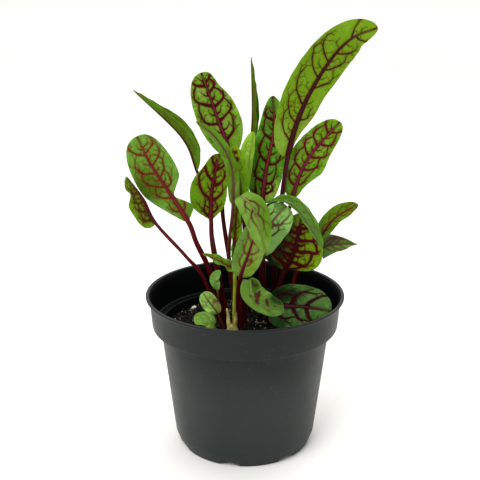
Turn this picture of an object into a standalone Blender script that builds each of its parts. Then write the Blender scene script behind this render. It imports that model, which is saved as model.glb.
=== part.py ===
"""A red-veined sorrel plant growing in its round plastic nursery pot.

Run it with: blender --background --python part.py
Units are metres and +Z is up. The origin is the middle of the pot's underside, and -Y is the front.
Each leaf is two pieces: a dark red stalk that runs on under the blade as its midrib, and the green blade.
"""

import math

import bmesh
import bpy
import numpy as np
from mathutils import Matrix, Vector, noise

MM = 0.001
GAP = 0.3  # clearance between neighbouring pieces, mm

# The pot, in mm
POT_HEIGHT = 112.0
RIM_RADIUS = 70.0
RIM_THICKNESS = 1.8
COLLAR_TOP_RADIUS = 67.5
COLLAR_FOOT_RADIUS = 65.8
COLLAR_HEIGHT = 23.2
WALL_TOP_RADIUS = 60.0
WALL_FOOT_RADIUS = 50.7
FOOT_CHAMFER_HEIGHT = 9.0
FOOT_RADIUS = 47.2
WALL_THICKNESS = 1.3
FLOOR_THICKNESS = 1.6
POT_STEPS = 56
DRAIN_COUNT = 7
DRAIN_TURN = -13.0  # degrees from the front to the first drain notch
DRAIN_ARCH_RADIUS = 9.0
DRAIN_HEIGHT = 4.4
DRAIN_REACH = 12.0  # from the foot inwards
DRAIN_LENGTH = 18.0  # of the cutter, which sticks out past the foot
DRAIN_SEGMENTS = 28

# The soil, in mm
SOIL_LEVEL = 85.0
SOIL_SHOULDER = 1.5  # drop at the wall
SOIL_STEPS = 40
SOIL_RINGS = 12
CRUMB_HEIGHT = 1.4
CRUMB_SIZE = 7.0
MOUND_HEIGHT = 2.5
MOUND_SPREAD = 13.0
CROWNS = [(-6, 3), (17, 20)]  # the two clumps that the stalks rise from

# The stalks and blades, in mm
ROOT_LEVEL = 77.0
HOLE_LENGTH = 18.0
ROOT_SWELL = 1.25  # stalk radius at the root against that at the blade
RIB_TIP_RADIUS = 0.45
RIB_GAP = 0.35  # clearance between a midrib and its blade
RIB_REACH = 0.9  # share of the blade's length that the midrib runs under
BLADE_THICKNESS = 0.7
LEAST_HALF_WIDTH = 1.2
BLADE_START = 0.012  # shares of the midrib's length
BLADE_END = 0.992
SLOPE_STEP = 0.01
FOLD_EASE = 0.3  # power that flattens the fold towards both ends
WAVE_OFFSET = 0.23  # between the waves of the two margins
FLATTEST = 1e-4
SPLINE_STEPS = 24
STALK_PIECES = 5
RIB_PIECES = 9
TUBE_RESOLUTION = 1  # gives six sides

# The papery sheaths of old leaves on the front crown, in mm: foot, tip, foot radius and tip radius
CROWN_KNOB = (-9, -14, 86)
CROWN_KNOB_RADIUS = 4.2
SHEATH_SIDES = 8
SHEATHS = [
    ((-10, -12, 86), (-12.5, -11, 103), 2.4, 0.7),
    ((-7, -15, 86), (-6.2, -18.5, 103), 2.2, 0.8),
    ((-8, -14, 86), (-8.6, -16, 93), 2.6, 1.9),
]

# Each leaf, in mm and degrees.
# root: where its stalk stands in the soil. stalk, blade: points on the stalk and then along the midrib.
# outline: powers of the rise from the base and of the fall to the tip.
# facing: azimuth and elevation of what the upper side looks at, spread from base to tip; 0, 0 is -Y.
# fold: how far each half stands up from flat. curl: added bend of the left and right halves.
# sides: share of the half width on the left and right. bites: side, place, depth and span of a narrowing.
# wave: height, count and phase of the margin's waves. rib: radius of the midrib at the blade's base.
LEAVES = [
    dict(  # 1: the tall leaf that leans right
        root=(19, 24), stalk=[(23, 10, 147)],
        blade=[(29, 6, 208), (39, 8, 242), (55, 8, 271), (69, 4, 287), (85, -4, 295)],
        width=32, outline=(0.38, 0.48), facing=[(0, 0), (0, 20), (5, 35)], fold=6, curl=(15, -10),
        sides=(1.08, 0.75), bites=[(1, 0.06, 0.7, 0.2), (1, 0.42, 0.14, 0.12), (1, 0.82, -0.22, 0.12)],
        wave=(1.0, 2.5, 0), rib=1.6,
    ),
    dict(  # 2: the upright oval leaf at the left
        root=(-6, 19), stalk=[(-11, 6, 132), (-16, 10, 174)],
        blade=[(-11, 14, 206), (-20, 18, 235), (-30, 22, 263)],
        width=29, outline=(0.5, 0.42), facing=[(8, 10), (0, 20)], fold=12,
        bites=[(1, 0.85, 0.3, 0.16), (1, 0.3, -0.15, 0.2)], wave=(0.8, 2, 0.2), rib=1.4,
    ),
    dict(  # 3: the long leaf that leans far left
        root=(-12, 8), stalk=[(-24, -6, 128), (-33, -12, 152)],
        blade=[(-38, -16, 168), (-51, -19, 191), (-62, -22, 210), (-70, -22, 228)],
        width=28, outline=(0.8, 0.42), facing=[(-5, 25), (-10, 35)], fold=5,
        bites=[(1, 0.31, 0.85, 0.1), (1, 0.11, -0.7, 0.06), (-1, 0.45, -0.18, 0.2)], rib=1.7,
    ),
    dict(  # 4: the folded leaf below it
        root=(-15, 2), stalk=[(-28, -14, 126), (-40, -22, 146)],
        blade=[(-59, -28, 171), (-66, -31, 188), (-76, -34, 204)],
        width=22, outline=(0.32, 0.5), facing=[(-92, 10), (-80, 15)], fold=58,
        bites=[(-1, 0.72, 0.4, 0.1), (1, 0.72, 0.4, 0.1)], rib=1.2,
    ),
    dict(  # 5: the narrow folded leaf that points up to the left
        root=(-10, 14), stalk=[(-20, 4, 137), (-26, 2, 175)],
        blade=[(-33, 0, 200), (-42.5, -4, 224), (-73, -10, 256)],
        width=17, outline=(0.5, 1.0), facing=[(85, 35), (80, 40)], fold=60, rib=1.0,
    ),
    dict(  # 6: the upright leaf in the middle of the left side
        root=(-9, 2), stalk=[(-21, -10, 141)],
        blade=[(-23, -11, 169), (-22, -10, 190), (-17, -6, 213)],
        width=26, outline=(0.42, 0.55), facing=[(0, 10), (-5, 20)], fold=8, sides=(1.15, 0.8),
        bites=[(-1, 0.8, 0.28, 0.2), (-1, 0.0, 0.45, 0.12), (1, 0.0, 0.45, 0.12)], rib=1.5,
    ),
    dict(  # 7: the narrow leaf in front of the oval one
        root=(-5, 8), stalk=[(-11, -3, 136)],
        blade=[(-8, -14, 180), (-9, -16, 207), (-19, -14, 225), (-32, -14, 236)],
        width=14, outline=(0.35, 0.6), facing=[(-12, 10), (-35, 40)], fold=6, sides=(0.6, 0.65), rib=1.2,
    ),
    dict(  # 8: the short leaf in the middle
        root=(1, 13), stalk=[(-3, 4, 149)],
        blade=[(-2.5, 4, 180), (-5, 2, 199), (-9, -2, 217)],
        width=18, outline=(0.4, 0.35), facing=[(10, 10), (0, 25)], fold=10, sides=(0.88, 0.8), rib=1.0,
    ),
    dict(  # 9: the pale leaf behind it
        root=(4, 24), stalk=[(1, 14, 146)],
        blade=[(1, 14, 181), (3, 14, 204), (6, 14, 224)],
        width=15, outline=(0.5, 0.5), facing=[(-20, 10), (-20, 15)], fold=10, sides=(1, 0.4), rib=0.9,
    ),
    dict(  # 10: the tall narrow leaf seen edge on
        root=(8, 30), stalk=[(2, 26, 151)],
        blade=[(3, 28, 197), (5, 28, 233), (4, 26, 273)],
        width=9, outline=(0.5, 0.8), facing=[(75, 10), (75, 10)], fold=55, rib=0.8,
    ),
    dict(  # 11: the dark upright leaf beside the tall one
        root=(13, 26), stalk=[(11, 18, 145)],
        blade=[(12, 18, 172), (15, 20, 196), (20, 22, 224), (19, 24, 247)],
        width=26, outline=(0.4, 0.58), facing=[(-10, 5), (-15, 10)], fold=12, wave=(0.8, 2.5, 0.3), rib=1.5,
    ),
    dict(  # 12: the right leaf below the tall one
        root=(25, 24), stalk=[(28, 14, 146)],
        blade=[(33, 12, 178), (43, 12, 205), (64, 8, 232)],
        width=26, outline=(0.42, 0.42), facing=[(5, 5), (10, 20)], fold=5,
        sides=(1, 0.8), bites=[(1, 0.42, -0.3, 0.2), (1, 0.1, 0.3, 0.15)], wave=(0.8, 2, 0.1), rib=1.3,
    ),
    dict(  # 13: the tongue that arches over towards the front
        root=(1, 4), stalk=[(-1, -9, 165)],
        blade=[(-4.5, -22.5, 187), (6, -31, 181), (14, -38, 153)],
        width=18, outline=(0.4, 0.7), facing=[(0, 60), (0, 30), (0, 10)], fold=-4, curl=(-10, -20), rib=0.9,
    ),
    dict(  # 14: the broad pale leaf beside the tongue
        root=(12, 17), stalk=[(11, 3, 117)],
        blade=[(13, -4, 140), (17, -8, 163), (28, -9, 178)],
        width=24, outline=(0.62, 0.38), facing=[(20, 10), (10, 30)], fold=5, sides=(0.8, 1.1), rib=1.1,
    ),
    dict(  # 15: the leaf below the tongue
        root=(-4, -7), stalk=[(-5, -14, 112)],
        blade=[(-3, -18, 130), (3, -20, 149), (9, -20, 170)],
        width=20, outline=(0.35, 0.4), facing=[(0, 10), (0, 20)], fold=5, rib=1.3,
    ),
    dict(  # 16: the curled leaf low at the front
        root=(-1, -10), stalk=[(-2, -20, 114)],
        blade=[(3, -28, 131), (5, -38, 125), (14, -42, 119), (26, -38, 114)],
        width=17, outline=(0.4, 0.45), facing=[(10, 30), (10, 40), (10, 40)], fold=12, rib=1.1,
    ),
    dict(  # 17: the broad leaf low at the right, over the soil
        root=(19, 9), stalk=[],
        blade=[(17, -5, 101), (38, -11, 105), (59, -22, 106)],
        width=38, outline=(0.38, 0.5), facing=[(10, 55), (20, 50)], fold=5, sides=(0.95, 1.1), rib=1.4,
    ),
    dict(  # 18: the broad-based leaf at the right
        root=(22, 17), stalk=[(22, 12, 103)],
        blade=[(28.5, 7, 125), (35, 3, 143), (39, -2, 171)],
        width=38, outline=(0.22, 0.6), facing=[(-24, 10), (5, 10)], fold=8, sides=(1.2, 1.15),
        bites=[(1, 0.0, 0.94, 0.21), (-1, 0.5, 0.25, 0.2)], rib=1.4,
    ),
    dict(  # 19: the strap that arches over to the right
        root=(16, 10), stalk=[(13, 4, 150)],
        blade=[(14, 2, 172), (23, -4, 180), (33, -12, 179), (43, -18, 168), (52, -22, 152)],
        width=16, outline=(0.4, 0.5), facing=[(0, 80), (55, 32), (60, 22)], fold=10, rib=0.9,
    ),
    dict(  # 20: the leaf that points right
        root=(28, 19), stalk=[(39, 10, 131)],
        blade=[(52, 10, 148), (63, 8, 164), (78, 4, 175)],
        width=15, outline=(0.45, 0.5), facing=[(-20, 30), (-10, 40)], fold=10, sides=(1, 0.75), rib=1.0,
    ),
    dict(  # 21: the leaf below it
        root=(27, 29), stalk=[(40, 16, 123)],
        blade=[(53, 16, 138), (65, 12, 143), (79, 8, 145)],
        width=18, outline=(0.3, 1.1), facing=[(20, 50), (0, 50)], fold=15, sides=(1, 1.3), rib=0.9,
    ),
    dict(  # 22: a seedling leaf at the left of the crown
        root=(-17, -3), stalk=[], blade=[(-19, -12, 118), (-21, -13, 126), (-17, -14, 133)],
        width=7, outline=(0.5, 0.5), facing=[(-20, 20), (-20, 20)], fold=10, rib=0.8, small=True,
    ),
    dict(  # 23: a young leaf low at the left
        root=(-12, -5), stalk=[], blade=[(-19, -14, 101), (-24, -15, 109), (-29, -15, 117)],
        width=12, outline=(0.5, 0.4), facing=[(-20, 40), (-20, 40)], fold=10, rib=0.8, small=True,
    ),
    dict(  # 24: a young leaf just behind the front of the rim
        root=(-14, -11), stalk=[], blade=[(-21, -22, 94), (-27, -24, 100), (-35, -26, 101)],
        width=12, outline=(0.5, 0.4), facing=[(-10, 60), (-20, 50)], fold=10, rib=0.8, small=True,
    ),
    dict(  # 25: the small frilled leaf over the left stalks
        root=(-1, -4), stalk=[(-2, -11, 115)],
        blade=[(-4, -13, 129), (-16, -15, 139), (-29, -16, 146)],
        width=9, outline=(0.5, 0.8), facing=[(0, 65), (-10, 60)], fold=18, wave=(1.2, 3, 0), rib=0.8,
    ),
    dict(  # 26: the narrow yellow-green leaf in the middle
        root=(-8, -5), stalk=[(-7, -8, 124)],
        blade=[(-8, -7, 140), (-7, -6, 160), (-6, -5, 181)],
        width=9, outline=(0.3, 0.5), facing=[(35, 5), (35, 5)], fold=28, rib=1.2,
    ),
]
LARGE_GRID = (11, 3)  # rows along a blade and columns on each half
SMALL_GRID = (7, 2)

# Colours: base colour, roughness
POT_FINISH = ((0.055, 0.06, 0.058), 0.55)
SOIL_FINISH = ((0.02, 0.017, 0.014), 0.95)
STALK_FINISH = ((0.09, 0.008, 0.012), 0.4)
YELLOW_STALK_FINISH = ((0.3, 0.36, 0.03), 0.45)
BLADE_FINISH = ((0.14, 0.3, 0.03), 0.45)
SHEATH_FINISH = ((0.4, 0.3, 0.1), 0.7)
YELLOW_STALKED = 26


def new_collection(name, hidden=False):
    collection = bpy.data.collections.new(name)
    bpy.context.scene.collection.children.link(collection)
    collection.hide_render = hidden
    return collection


def material(name, finish):
    made = bpy.data.materials.new(name)
    made.use_nodes = True
    shader = made.node_tree.nodes["Principled BSDF"]
    colour, roughness = finish
    shader.inputs["Base Color"].default_value = (*colour, 1)
    shader.inputs["Roughness"].default_value = roughness
    shader.inputs["Metallic"].default_value = 0
    return made


def add_object(name, data, collection, finish=None):
    made = bpy.data.objects.new(name, data)
    collection.objects.link(made)
    if finish:
        data.materials.append(material(name, finish))
    return made


def applied(obj):
    """Turns a curve, or a mesh with modifiers, into a plain mesh object in its place."""
    bpy.context.view_layer.update()
    graph = bpy.context.evaluated_depsgraph_get()
    mesh = bpy.data.meshes.new_from_object(obj.evaluated_get(graph))
    shell = bmesh.new()
    shell.from_mesh(mesh)
    bmesh.ops.remove_doubles(shell, verts=shell.verts, dist=1e-6)
    shell.to_mesh(mesh)
    shell.free()
    name, collections, place = obj.name, list(obj.users_collection), obj.matrix_world.copy()
    bpy.data.objects.remove(obj)
    made = bpy.data.objects.new(name, mesh)
    made.matrix_world = place
    for collection in collections:
        collection.objects.link(made)
    return made


def cut(obj, cutters, operation="DIFFERENCE"):
    """Cuts or joins every object of a collection, then removes them."""
    boolean = obj.modifiers.new("boolean", "BOOLEAN")
    boolean.operand_type = "COLLECTION"
    boolean.collection = cutters
    boolean.operation = operation
    boolean.solver = "EXACT"
    made = applied(obj)
    for cutter in list(cutters.objects):
        bpy.data.objects.remove(cutter)
    return made


def turned(name, profile, steps, collection):
    """Spins a profile of (radius, height) points in mm, which runs down the outer side."""
    mesh = bpy.data.meshes.new(name)
    points = [(radius * MM, 0, height * MM) for radius, height in profile]
    mesh.from_pydata(points, [(i, i + 1) for i in range(len(points) - 1)], [])
    obj = add_object(name, mesh, collection)
    screw = obj.modifiers.new("screw", "SCREW")
    screw.steps = steps
    screw.render_steps = steps
    screw.use_merge_vertices = True
    screw.merge_threshold = 1e-5
    return applied(obj)


def tube(name, points, radii, collection, finish=None):
    """A round rod along points in mm, with a radius in mm at each."""
    curve = bpy.data.curves.new(name, "CURVE")
    curve.dimensions = "3D"
    curve.bevel_depth = MM
    curve.bevel_resolution = TUBE_RESOLUTION
    curve.use_fill_caps = True
    spline = curve.splines.new("POLY")
    spline.points.add(len(points) - 1)
    for place, point, radius in zip(spline.points, points, radii):
        place.co = (*(Vector(point) * MM), 1)
        place.radius = radius
    return add_object(name, curve, collection, finish)


def make_pot(collection, cutters):
    ledge = POT_HEIGHT - COLLAR_HEIGHT
    lip = POT_HEIGHT - RIM_THICKNESS
    profile = [
        (0, FLOOR_THICKNESS),
        (FOOT_RADIUS - 0.6, FLOOR_THICKNESS),
        (WALL_FOOT_RADIUS - WALL_THICKNESS, FOOT_CHAMFER_HEIGHT + 0.3),
        (WALL_TOP_RADIUS - WALL_THICKNESS, ledge + WALL_THICKNESS - 0.5),
        (WALL_TOP_RADIUS - WALL_THICKNESS + 0.6, ledge + WALL_THICKNESS),
        (COLLAR_FOOT_RADIUS - WALL_THICKNESS - 0.6, ledge + WALL_THICKNESS + 0.2),
        (COLLAR_FOOT_RADIUS - WALL_THICKNESS, ledge + WALL_THICKNESS + 0.8),
        (COLLAR_TOP_RADIUS - WALL_THICKNESS, lip - 1.2),
        (COLLAR_TOP_RADIUS + 0.5, POT_HEIGHT - 0.4),
        (COLLAR_TOP_RADIUS + 1.1, POT_HEIGHT),
        (RIM_RADIUS - 0.5, POT_HEIGHT),
        (RIM_RADIUS, POT_HEIGHT - 0.6),
        (RIM_RADIUS - 0.4, lip),
        (COLLAR_TOP_RADIUS + 0.5, lip - 0.3),
        (COLLAR_TOP_RADIUS, lip - 1.0),
        (COLLAR_FOOT_RADIUS, ledge + 0.9),
        (COLLAR_FOOT_RADIUS - 0.8, ledge),
        (WALL_TOP_RADIUS + 0.3, ledge - 0.2),
        (WALL_TOP_RADIUS, ledge - 0.7),
        (WALL_FOOT_RADIUS, FOOT_CHAMFER_HEIGHT),
        (FOOT_RADIUS + 0.9, 1.6),
        (FOOT_RADIUS, 0),
        (0, 0),
    ]
    pot = turned("pot", profile, POT_STEPS, collection)
    for index in range(DRAIN_COUNT):
        turn = math.radians(DRAIN_TURN + index * 360 / DRAIN_COUNT)
        outward = Vector((math.sin(turn), -math.cos(turn), 0))
        arch = bmesh.new()
        bmesh.ops.create_cone(
            arch, cap_ends=True, segments=DRAIN_SEGMENTS, radius1=DRAIN_ARCH_RADIUS * MM,
            radius2=DRAIN_ARCH_RADIUS * MM, depth=DRAIN_LENGTH * MM,
        )
        mesh = bpy.data.meshes.new(f"drain_{index}")
        arch.to_mesh(mesh)
        arch.free()
        cutter = add_object(f"drain_{index}", mesh, cutters)
        middle = outward * (FOOT_RADIUS - DRAIN_REACH + DRAIN_LENGTH / 2)
        middle.z = DRAIN_HEIGHT - DRAIN_ARCH_RADIUS
        turned_out = outward.to_track_quat("Z", "Y").to_matrix().to_4x4()
        cutter.matrix_world = Matrix.Translation(middle * MM) @ turned_out
    pot = cut(pot, cutters)
    pot.data.materials.append(material("pot", POT_FINISH))
    return pot


def soil_height(x, y):
    """How far the crumbs and the mounds round the crowns lift the soil, in mm."""
    lift = CRUMB_HEIGHT * noise.noise(Vector((x, y, 0)) / CRUMB_SIZE)
    lift += CRUMB_HEIGHT / 2 * noise.noise(Vector((x, y, 40)) / CRUMB_SIZE * 2.3)
    for crown_x, crown_y in CROWNS:
        away = math.hypot(x - crown_x, y - crown_y) / MOUND_SPREAD
        lift += MOUND_HEIGHT * math.exp(-away * away)
    return lift


def make_soil(collection, cutters):
    slope = (WALL_TOP_RADIUS - WALL_FOOT_RADIUS) / (POT_HEIGHT - COLLAR_HEIGHT - FOOT_CHAMFER_HEIGHT)
    clear = WALL_THICKNESS + GAP + 0.2
    shoulder = SOIL_LEVEL - SOIL_SHOULDER
    edge = WALL_FOOT_RADIUS + slope * (shoulder - FOOT_CHAMFER_HEIGHT) - clear
    rings = [(edge * index / SOIL_RINGS, SOIL_LEVEL) for index in range(SOIL_RINGS)]
    profile = rings + [
        (edge, shoulder),
        (WALL_FOOT_RADIUS - clear, FOOT_CHAMFER_HEIGHT + 0.6),
        (FOOT_RADIUS - 2.2, FLOOR_THICKNESS + GAP),
        (0, FLOOR_THICKNESS + GAP),
    ]
    soil = turned("soil", profile, SOIL_STEPS, collection)
    for vertex in soil.data.vertices:
        if vertex.co.z > (SOIL_LEVEL - 0.1) * MM:
            vertex.co.z += soil_height(vertex.co.x / MM, vertex.co.y / MM) * MM
    soil = cut(soil, cutters)
    soil.data.materials.append(material("soil", SOIL_FINISH))
    return soil


def smooth_path(points):
    """A Catmull-Rom curve through the points, with SPLINE_STEPS steps between each two."""
    knots = np.array(points, float)
    knots = np.vstack([2 * knots[0] - knots[1], knots, 2 * knots[-1] - knots[-2]])
    steps = np.linspace(0, 1, SPLINE_STEPS, endpoint=False)[:, None]
    spans = []
    for a, b, c, d in zip(knots, knots[1:], knots[2:], knots[3:]):
        square = (2 * a - 5 * b + 4 * c - d) * steps**2
        cube = (3 * b - a - 3 * c + d) * steps**3
        spans.append((2 * b + (c - a) * steps + square + cube) / 2)
    return np.vstack(spans + [knots[-2:-1]])


def along(path, shares):
    """Points at these shares of a path's length."""
    steps = np.linalg.norm(np.diff(path, axis=0), axis=1)
    lengths = np.concatenate([[0], np.cumsum(steps)])
    wanted = np.array(shares) * lengths[-1]
    return np.stack([np.interp(wanted, lengths, path[:, axis]) for axis in range(3)], 1)


def spine(leaf):
    """The stalk's path from the root to the blade, and the midrib's from there to the tip."""
    knots = [(*leaf["root"], ROOT_LEVEL)] + leaf["stalk"] + leaf["blade"]
    path = smooth_path(knots)
    base = (1 + len(leaf["stalk"])) * SPLINE_STEPS
    return path[: base + 1], path[base:]


def rib_radius(leaf, share):
    return leaf["rib"] + (RIB_TIP_RADIUS - leaf["rib"]) * share


def direction(azimuth, elevation):
    azimuth, elevation = math.radians(azimuth), math.radians(elevation)
    flat = math.cos(elevation)
    return (flat * math.sin(azimuth), -flat * math.cos(azimuth), math.sin(elevation))


def unit(vectors):
    return vectors / np.linalg.norm(vectors, axis=-1, keepdims=True)


def blade_grid(leaf, rows, columns):
    """The middle surface of a blade in mm, as rows from base to tip of points from left to right."""
    midrib = spine(leaf)[1]
    even = (1 - np.cos(np.pi * np.linspace(0, 1, rows + 1))) / 2
    share = BLADE_START + (BLADE_END - BLADE_START) * even
    centre = along(midrib, share)
    ahead = along(midrib, np.minimum(share + SLOPE_STEP, 1))
    behind = along(midrib, np.maximum(share - SLOPE_STEP, 0))
    forward = unit(ahead - behind)
    looks = np.array([direction(*pair) for pair in leaf["facing"]])
    places = np.linspace(0, 1, len(looks))
    looks = np.stack([np.interp(share, places, looks[:, axis]) for axis in range(3)], 1)
    normal = unit(looks - (looks * forward).sum(1, keepdims=True) * forward)
    right = np.cross(forward, normal)
    centre = centre + normal * (rib_radius(leaf, share) + RIB_GAP + BLADE_THICKNESS / 2)[:, None]

    rise, fall = leaf["outline"]
    widest = rise / (rise + fall)
    shape = share**rise * (1 - share) ** fall / (widest**rise * (1 - widest) ** fall)
    fold = math.radians(leaf["fold"]) * np.sin(np.pi * share) ** FOLD_EASE
    height, count, phase = leaf.get("wave", (0, 1, 0))
    columns_of = {0: centre}
    for side, curl, part in zip((-1, 1), leaf.get("curl", (0, 0)), leaf.get("sides", (1, 1))):
        half = leaf["width"] / 2 * part * shape
        for where, place, depth, span in leaf.get("bites", []):
            if where == side:
                half = half * (1 - depth * np.exp(-(((share - place) / span) ** 2)))
        half = np.maximum(half, LEAST_HALF_WIDTH)
        bend = math.radians(curl) or FLATTEST
        for column in range(1, columns + 1):
            out = column / columns
            across = half * (np.sin(fold + bend * out) - np.sin(fold)) / bend
            up = half * (np.cos(fold) - np.cos(fold + bend * out)) / bend
            turns = count * share + phase + WAVE_OFFSET * side
            up = up + height * out * out * np.sin(2 * np.pi * turns) * np.sin(np.pi * share)
            columns_of[side * column] = centre + side * across[:, None] * right + up[:, None] * normal
    return np.stack([columns_of[column] for column in range(-columns, columns + 1)], 1)


def make_blade(name, leaf, collection):
    grid = blade_grid(leaf, *(SMALL_GRID if leaf.get("small") else LARGE_GRID))
    rows, columns = grid.shape[:2]
    triangles = []
    for row in range(rows - 1):
        for column in range(columns - 1):
            a = row * columns + column
            b, c, d = a + 1, a + columns + 1, a + columns
            if column < columns // 2:
                triangles += [(a, b, c), (a, c, d)]
            else:
                triangles += [(a, b, d), (b, c, d)]
    mesh = bpy.data.meshes.new(name)
    mesh.from_pydata((grid.reshape(-1, 3) * MM).tolist(), [], triangles)
    blade = add_object(name, mesh, collection, BLADE_FINISH)
    solidify = blade.modifiers.new("thickness", "SOLIDIFY")
    solidify.thickness = BLADE_THICKNESS * MM
    solidify.offset = 0
    return blade


def make_stalk(name, leaf, collection, cutters):
    """The stalk with its midrib, and the cutter of the hole in the soil that it stands in."""
    stalk, midrib = spine(leaf)
    stalk_shares = np.linspace(0, 1, STALK_PIECES + 1)[:-1]
    rib_shares = np.linspace(0, RIB_REACH, RIB_PIECES + 1)
    points = np.vstack([along(stalk, stalk_shares), along(midrib, rib_shares)])
    radii = list(leaf["rib"] * (ROOT_SWELL + (1 - ROOT_SWELL) * stalk_shares))
    radii += list(rib_radius(leaf, rib_shares))
    number = int(name.split("_")[1])
    finish = YELLOW_STALK_FINISH if number == YELLOW_STALKED else STALK_FINISH
    tube(name, points, radii, collection, finish)

    start = Vector(points[0])
    toward = (Vector(points[1]) - start).normalized()
    ends = [start - toward * GAP, start + toward * HOLE_LENGTH]
    hole = tube(f"hole_{number:02d}", ends, [leaf["rib"] * ROOT_SWELL + 2 * GAP] * 2, cutters)
    applied(hole)


def cone_between(name, foot, tip, foot_radius, tip_radius, collection):
    foot, tip = Vector(foot), Vector(tip)
    shape = bmesh.new()
    bmesh.ops.create_cone(
        shape, cap_ends=True, segments=SHEATH_SIDES, radius1=foot_radius * MM, radius2=tip_radius * MM,
        depth=(tip - foot).length * MM,
    )
    mesh = bpy.data.meshes.new(name)
    shape.to_mesh(mesh)
    shape.free()
    made = add_object(name, mesh, collection)
    turn = (tip - foot).to_track_quat("Z", "Y").to_matrix().to_4x4()
    made.matrix_world = Matrix.Translation((foot + tip) / 2 * MM) @ turn
    return made


def knob(name, radius, collection):
    shape = bmesh.new()
    bmesh.ops.create_uvsphere(shape, u_segments=10, v_segments=6, radius=radius * MM)
    mesh = bpy.data.meshes.new(name)
    shape.to_mesh(mesh)
    shape.free()
    made = add_object(name, mesh, collection)
    made.location = Vector(CROWN_KNOB) * MM
    return made


def make_sheaths(collection, joined, cutters):
    sheaths = knob("crown_sheaths", CROWN_KNOB_RADIUS, collection)
    for index, sheath in enumerate(SHEATHS):
        cone_between(f"sheath_{index}", *sheath, joined)
    sheaths = cut(sheaths, joined, "UNION")
    sheaths.data.materials.append(material("crown_sheaths", SHEATH_FINISH))
    knob("hole_crown", CROWN_KNOB_RADIUS + 1.5 * GAP, cutters)


def main():
    for old in list(bpy.data.objects):
        bpy.data.objects.remove(old)
    plant = new_collection("sorrel_in_pot")
    cutters = new_collection("cutters", hidden=True)
    joined = new_collection("joined", hidden=True)

    make_pot(plant, cutters)
    for number, leaf in enumerate(LEAVES, 1):
        make_blade(f"leaf_{number:02d}_blade", leaf, plant)
        make_stalk(f"leaf_{number:02d}_stalk", leaf, plant, cutters)
    make_sheaths(plant, joined, cutters)
    make_soil(plant, cutters)
    for spare in (cutters, joined):
        bpy.data.collections.remove(spare)


main()
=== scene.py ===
"""The looks of a red-veined sorrel growing in its round plastic nursery pot.

Sizes are in mm in the tables and in metres on the pieces. +Z is up and -Y is the front.
Each leaf is a finely cut sheet with its veins pressed in, and a grooved stalk that runs on as the midrib.
"""

import math

import bmesh
import bpy
import numpy as np
from mathutils import Matrix, Vector, noise


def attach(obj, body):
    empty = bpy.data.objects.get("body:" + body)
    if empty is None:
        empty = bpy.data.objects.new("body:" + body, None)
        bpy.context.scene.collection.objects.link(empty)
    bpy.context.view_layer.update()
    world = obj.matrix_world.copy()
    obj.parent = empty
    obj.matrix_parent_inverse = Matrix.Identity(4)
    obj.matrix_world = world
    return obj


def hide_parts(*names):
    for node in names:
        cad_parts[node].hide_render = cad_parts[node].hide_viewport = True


MM = 0.001

# The pot and the soil, in mm
POT_HEIGHT = 112.0
RIM_RADIUS = 70.0
RIM_THICKNESS = 1.8
COLLAR_TOP_RADIUS = 67.5
COLLAR_FOOT_RADIUS = 65.8
COLLAR_HEIGHT = 23.2
LEDGE = POT_HEIGHT - COLLAR_HEIGHT
WALL_TOP_RADIUS = 60.0
WALL_FOOT_RADIUS = 50.7
FOOT_CHAMFER_HEIGHT = 9.0
FOOT_RADIUS = 47.2
WALL_THICKNESS = 1.3
FLOOR_THICKNESS = 1.6
POT_STEPS = 192
POT_RUN = 9.0  # the longest straight run of its profile
SHARP_ANGLE = 42  # in degrees
# the pale edges of the inner step are painted highlights: they keep the outer colours amid the painted shade
# inside
LIT_EDGE_WIDTH = 0.26  # of the pale edges of the inner step
DRAIN_COUNT = 7
DRAIN_TURN = -13.0
DRAIN_ARCH_RADIUS = 9.0
DRAIN_HEIGHT = 4.4
DRAIN_REACH = 12.0
DRAIN_LENGTH = 18.0
DRAIN_SIDES = 96
SOIL_LEVEL = 85.0
SOIL_STEPS = 220
SOIL_RINGS = 76
SOIL_RUN = 12.0
SOIL_GAP = 0.2  # to the pot's wall
CRUMB_SEED = 21
CRUMB_HEIGHT = 1.4
CRUMB_SIZE = 7.0
MOUND_HEIGHT = 2.5
MOUND_SPREAD = 13.0
CROWNS = [(-6, 3), (17, 20)]
CRUMBS = [
    # how many, smallest and largest radius, stretch, flatness, tone: 0 dark, 0.25 brown, 0.55 bark,
    # 0.8 grey grit, 1 perlite
    (760, 0.4, 1.4, 1.0, 0.8, 0.0),
    (170, 0.8, 1.7, 1.0, 0.6, 0.25),
    (60, 0.5, 0.9, 3.2, 0.4, 0.55),
    (24, 0.4, 0.8, 1.0, 0.9, 1.0),
    (420, 0.18, 0.4, 1.0, 1.0, 0.8),
]
# x, y and radius of the larger white grains
PERLITE = [(-38.4, 34.2, 1.5), (-29.8, 26.3, 1.0), (-31.5, 20.5, 0.8), (-20.9, 54.7, 1.1)]
CROWN_KNOB = (-9, -14, 86)
CROWN_KNOB_RADIUS = 4.2
SHEATH_RINGS = 26
SHEATH_SIDES = 28
SHEATHS = [
    # foot, tip, radius at the foot and at the tip
    ((-10, -12, 85), (-12.5, -11, 103), 2.4, 0.7),
    ((-7, -15, 85), (-6.2, -18.5, 103), 2.2, 0.8),
    ((-8, -14, 85), (-8.6, -16, 93), 2.6, 1.9),
]

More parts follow.
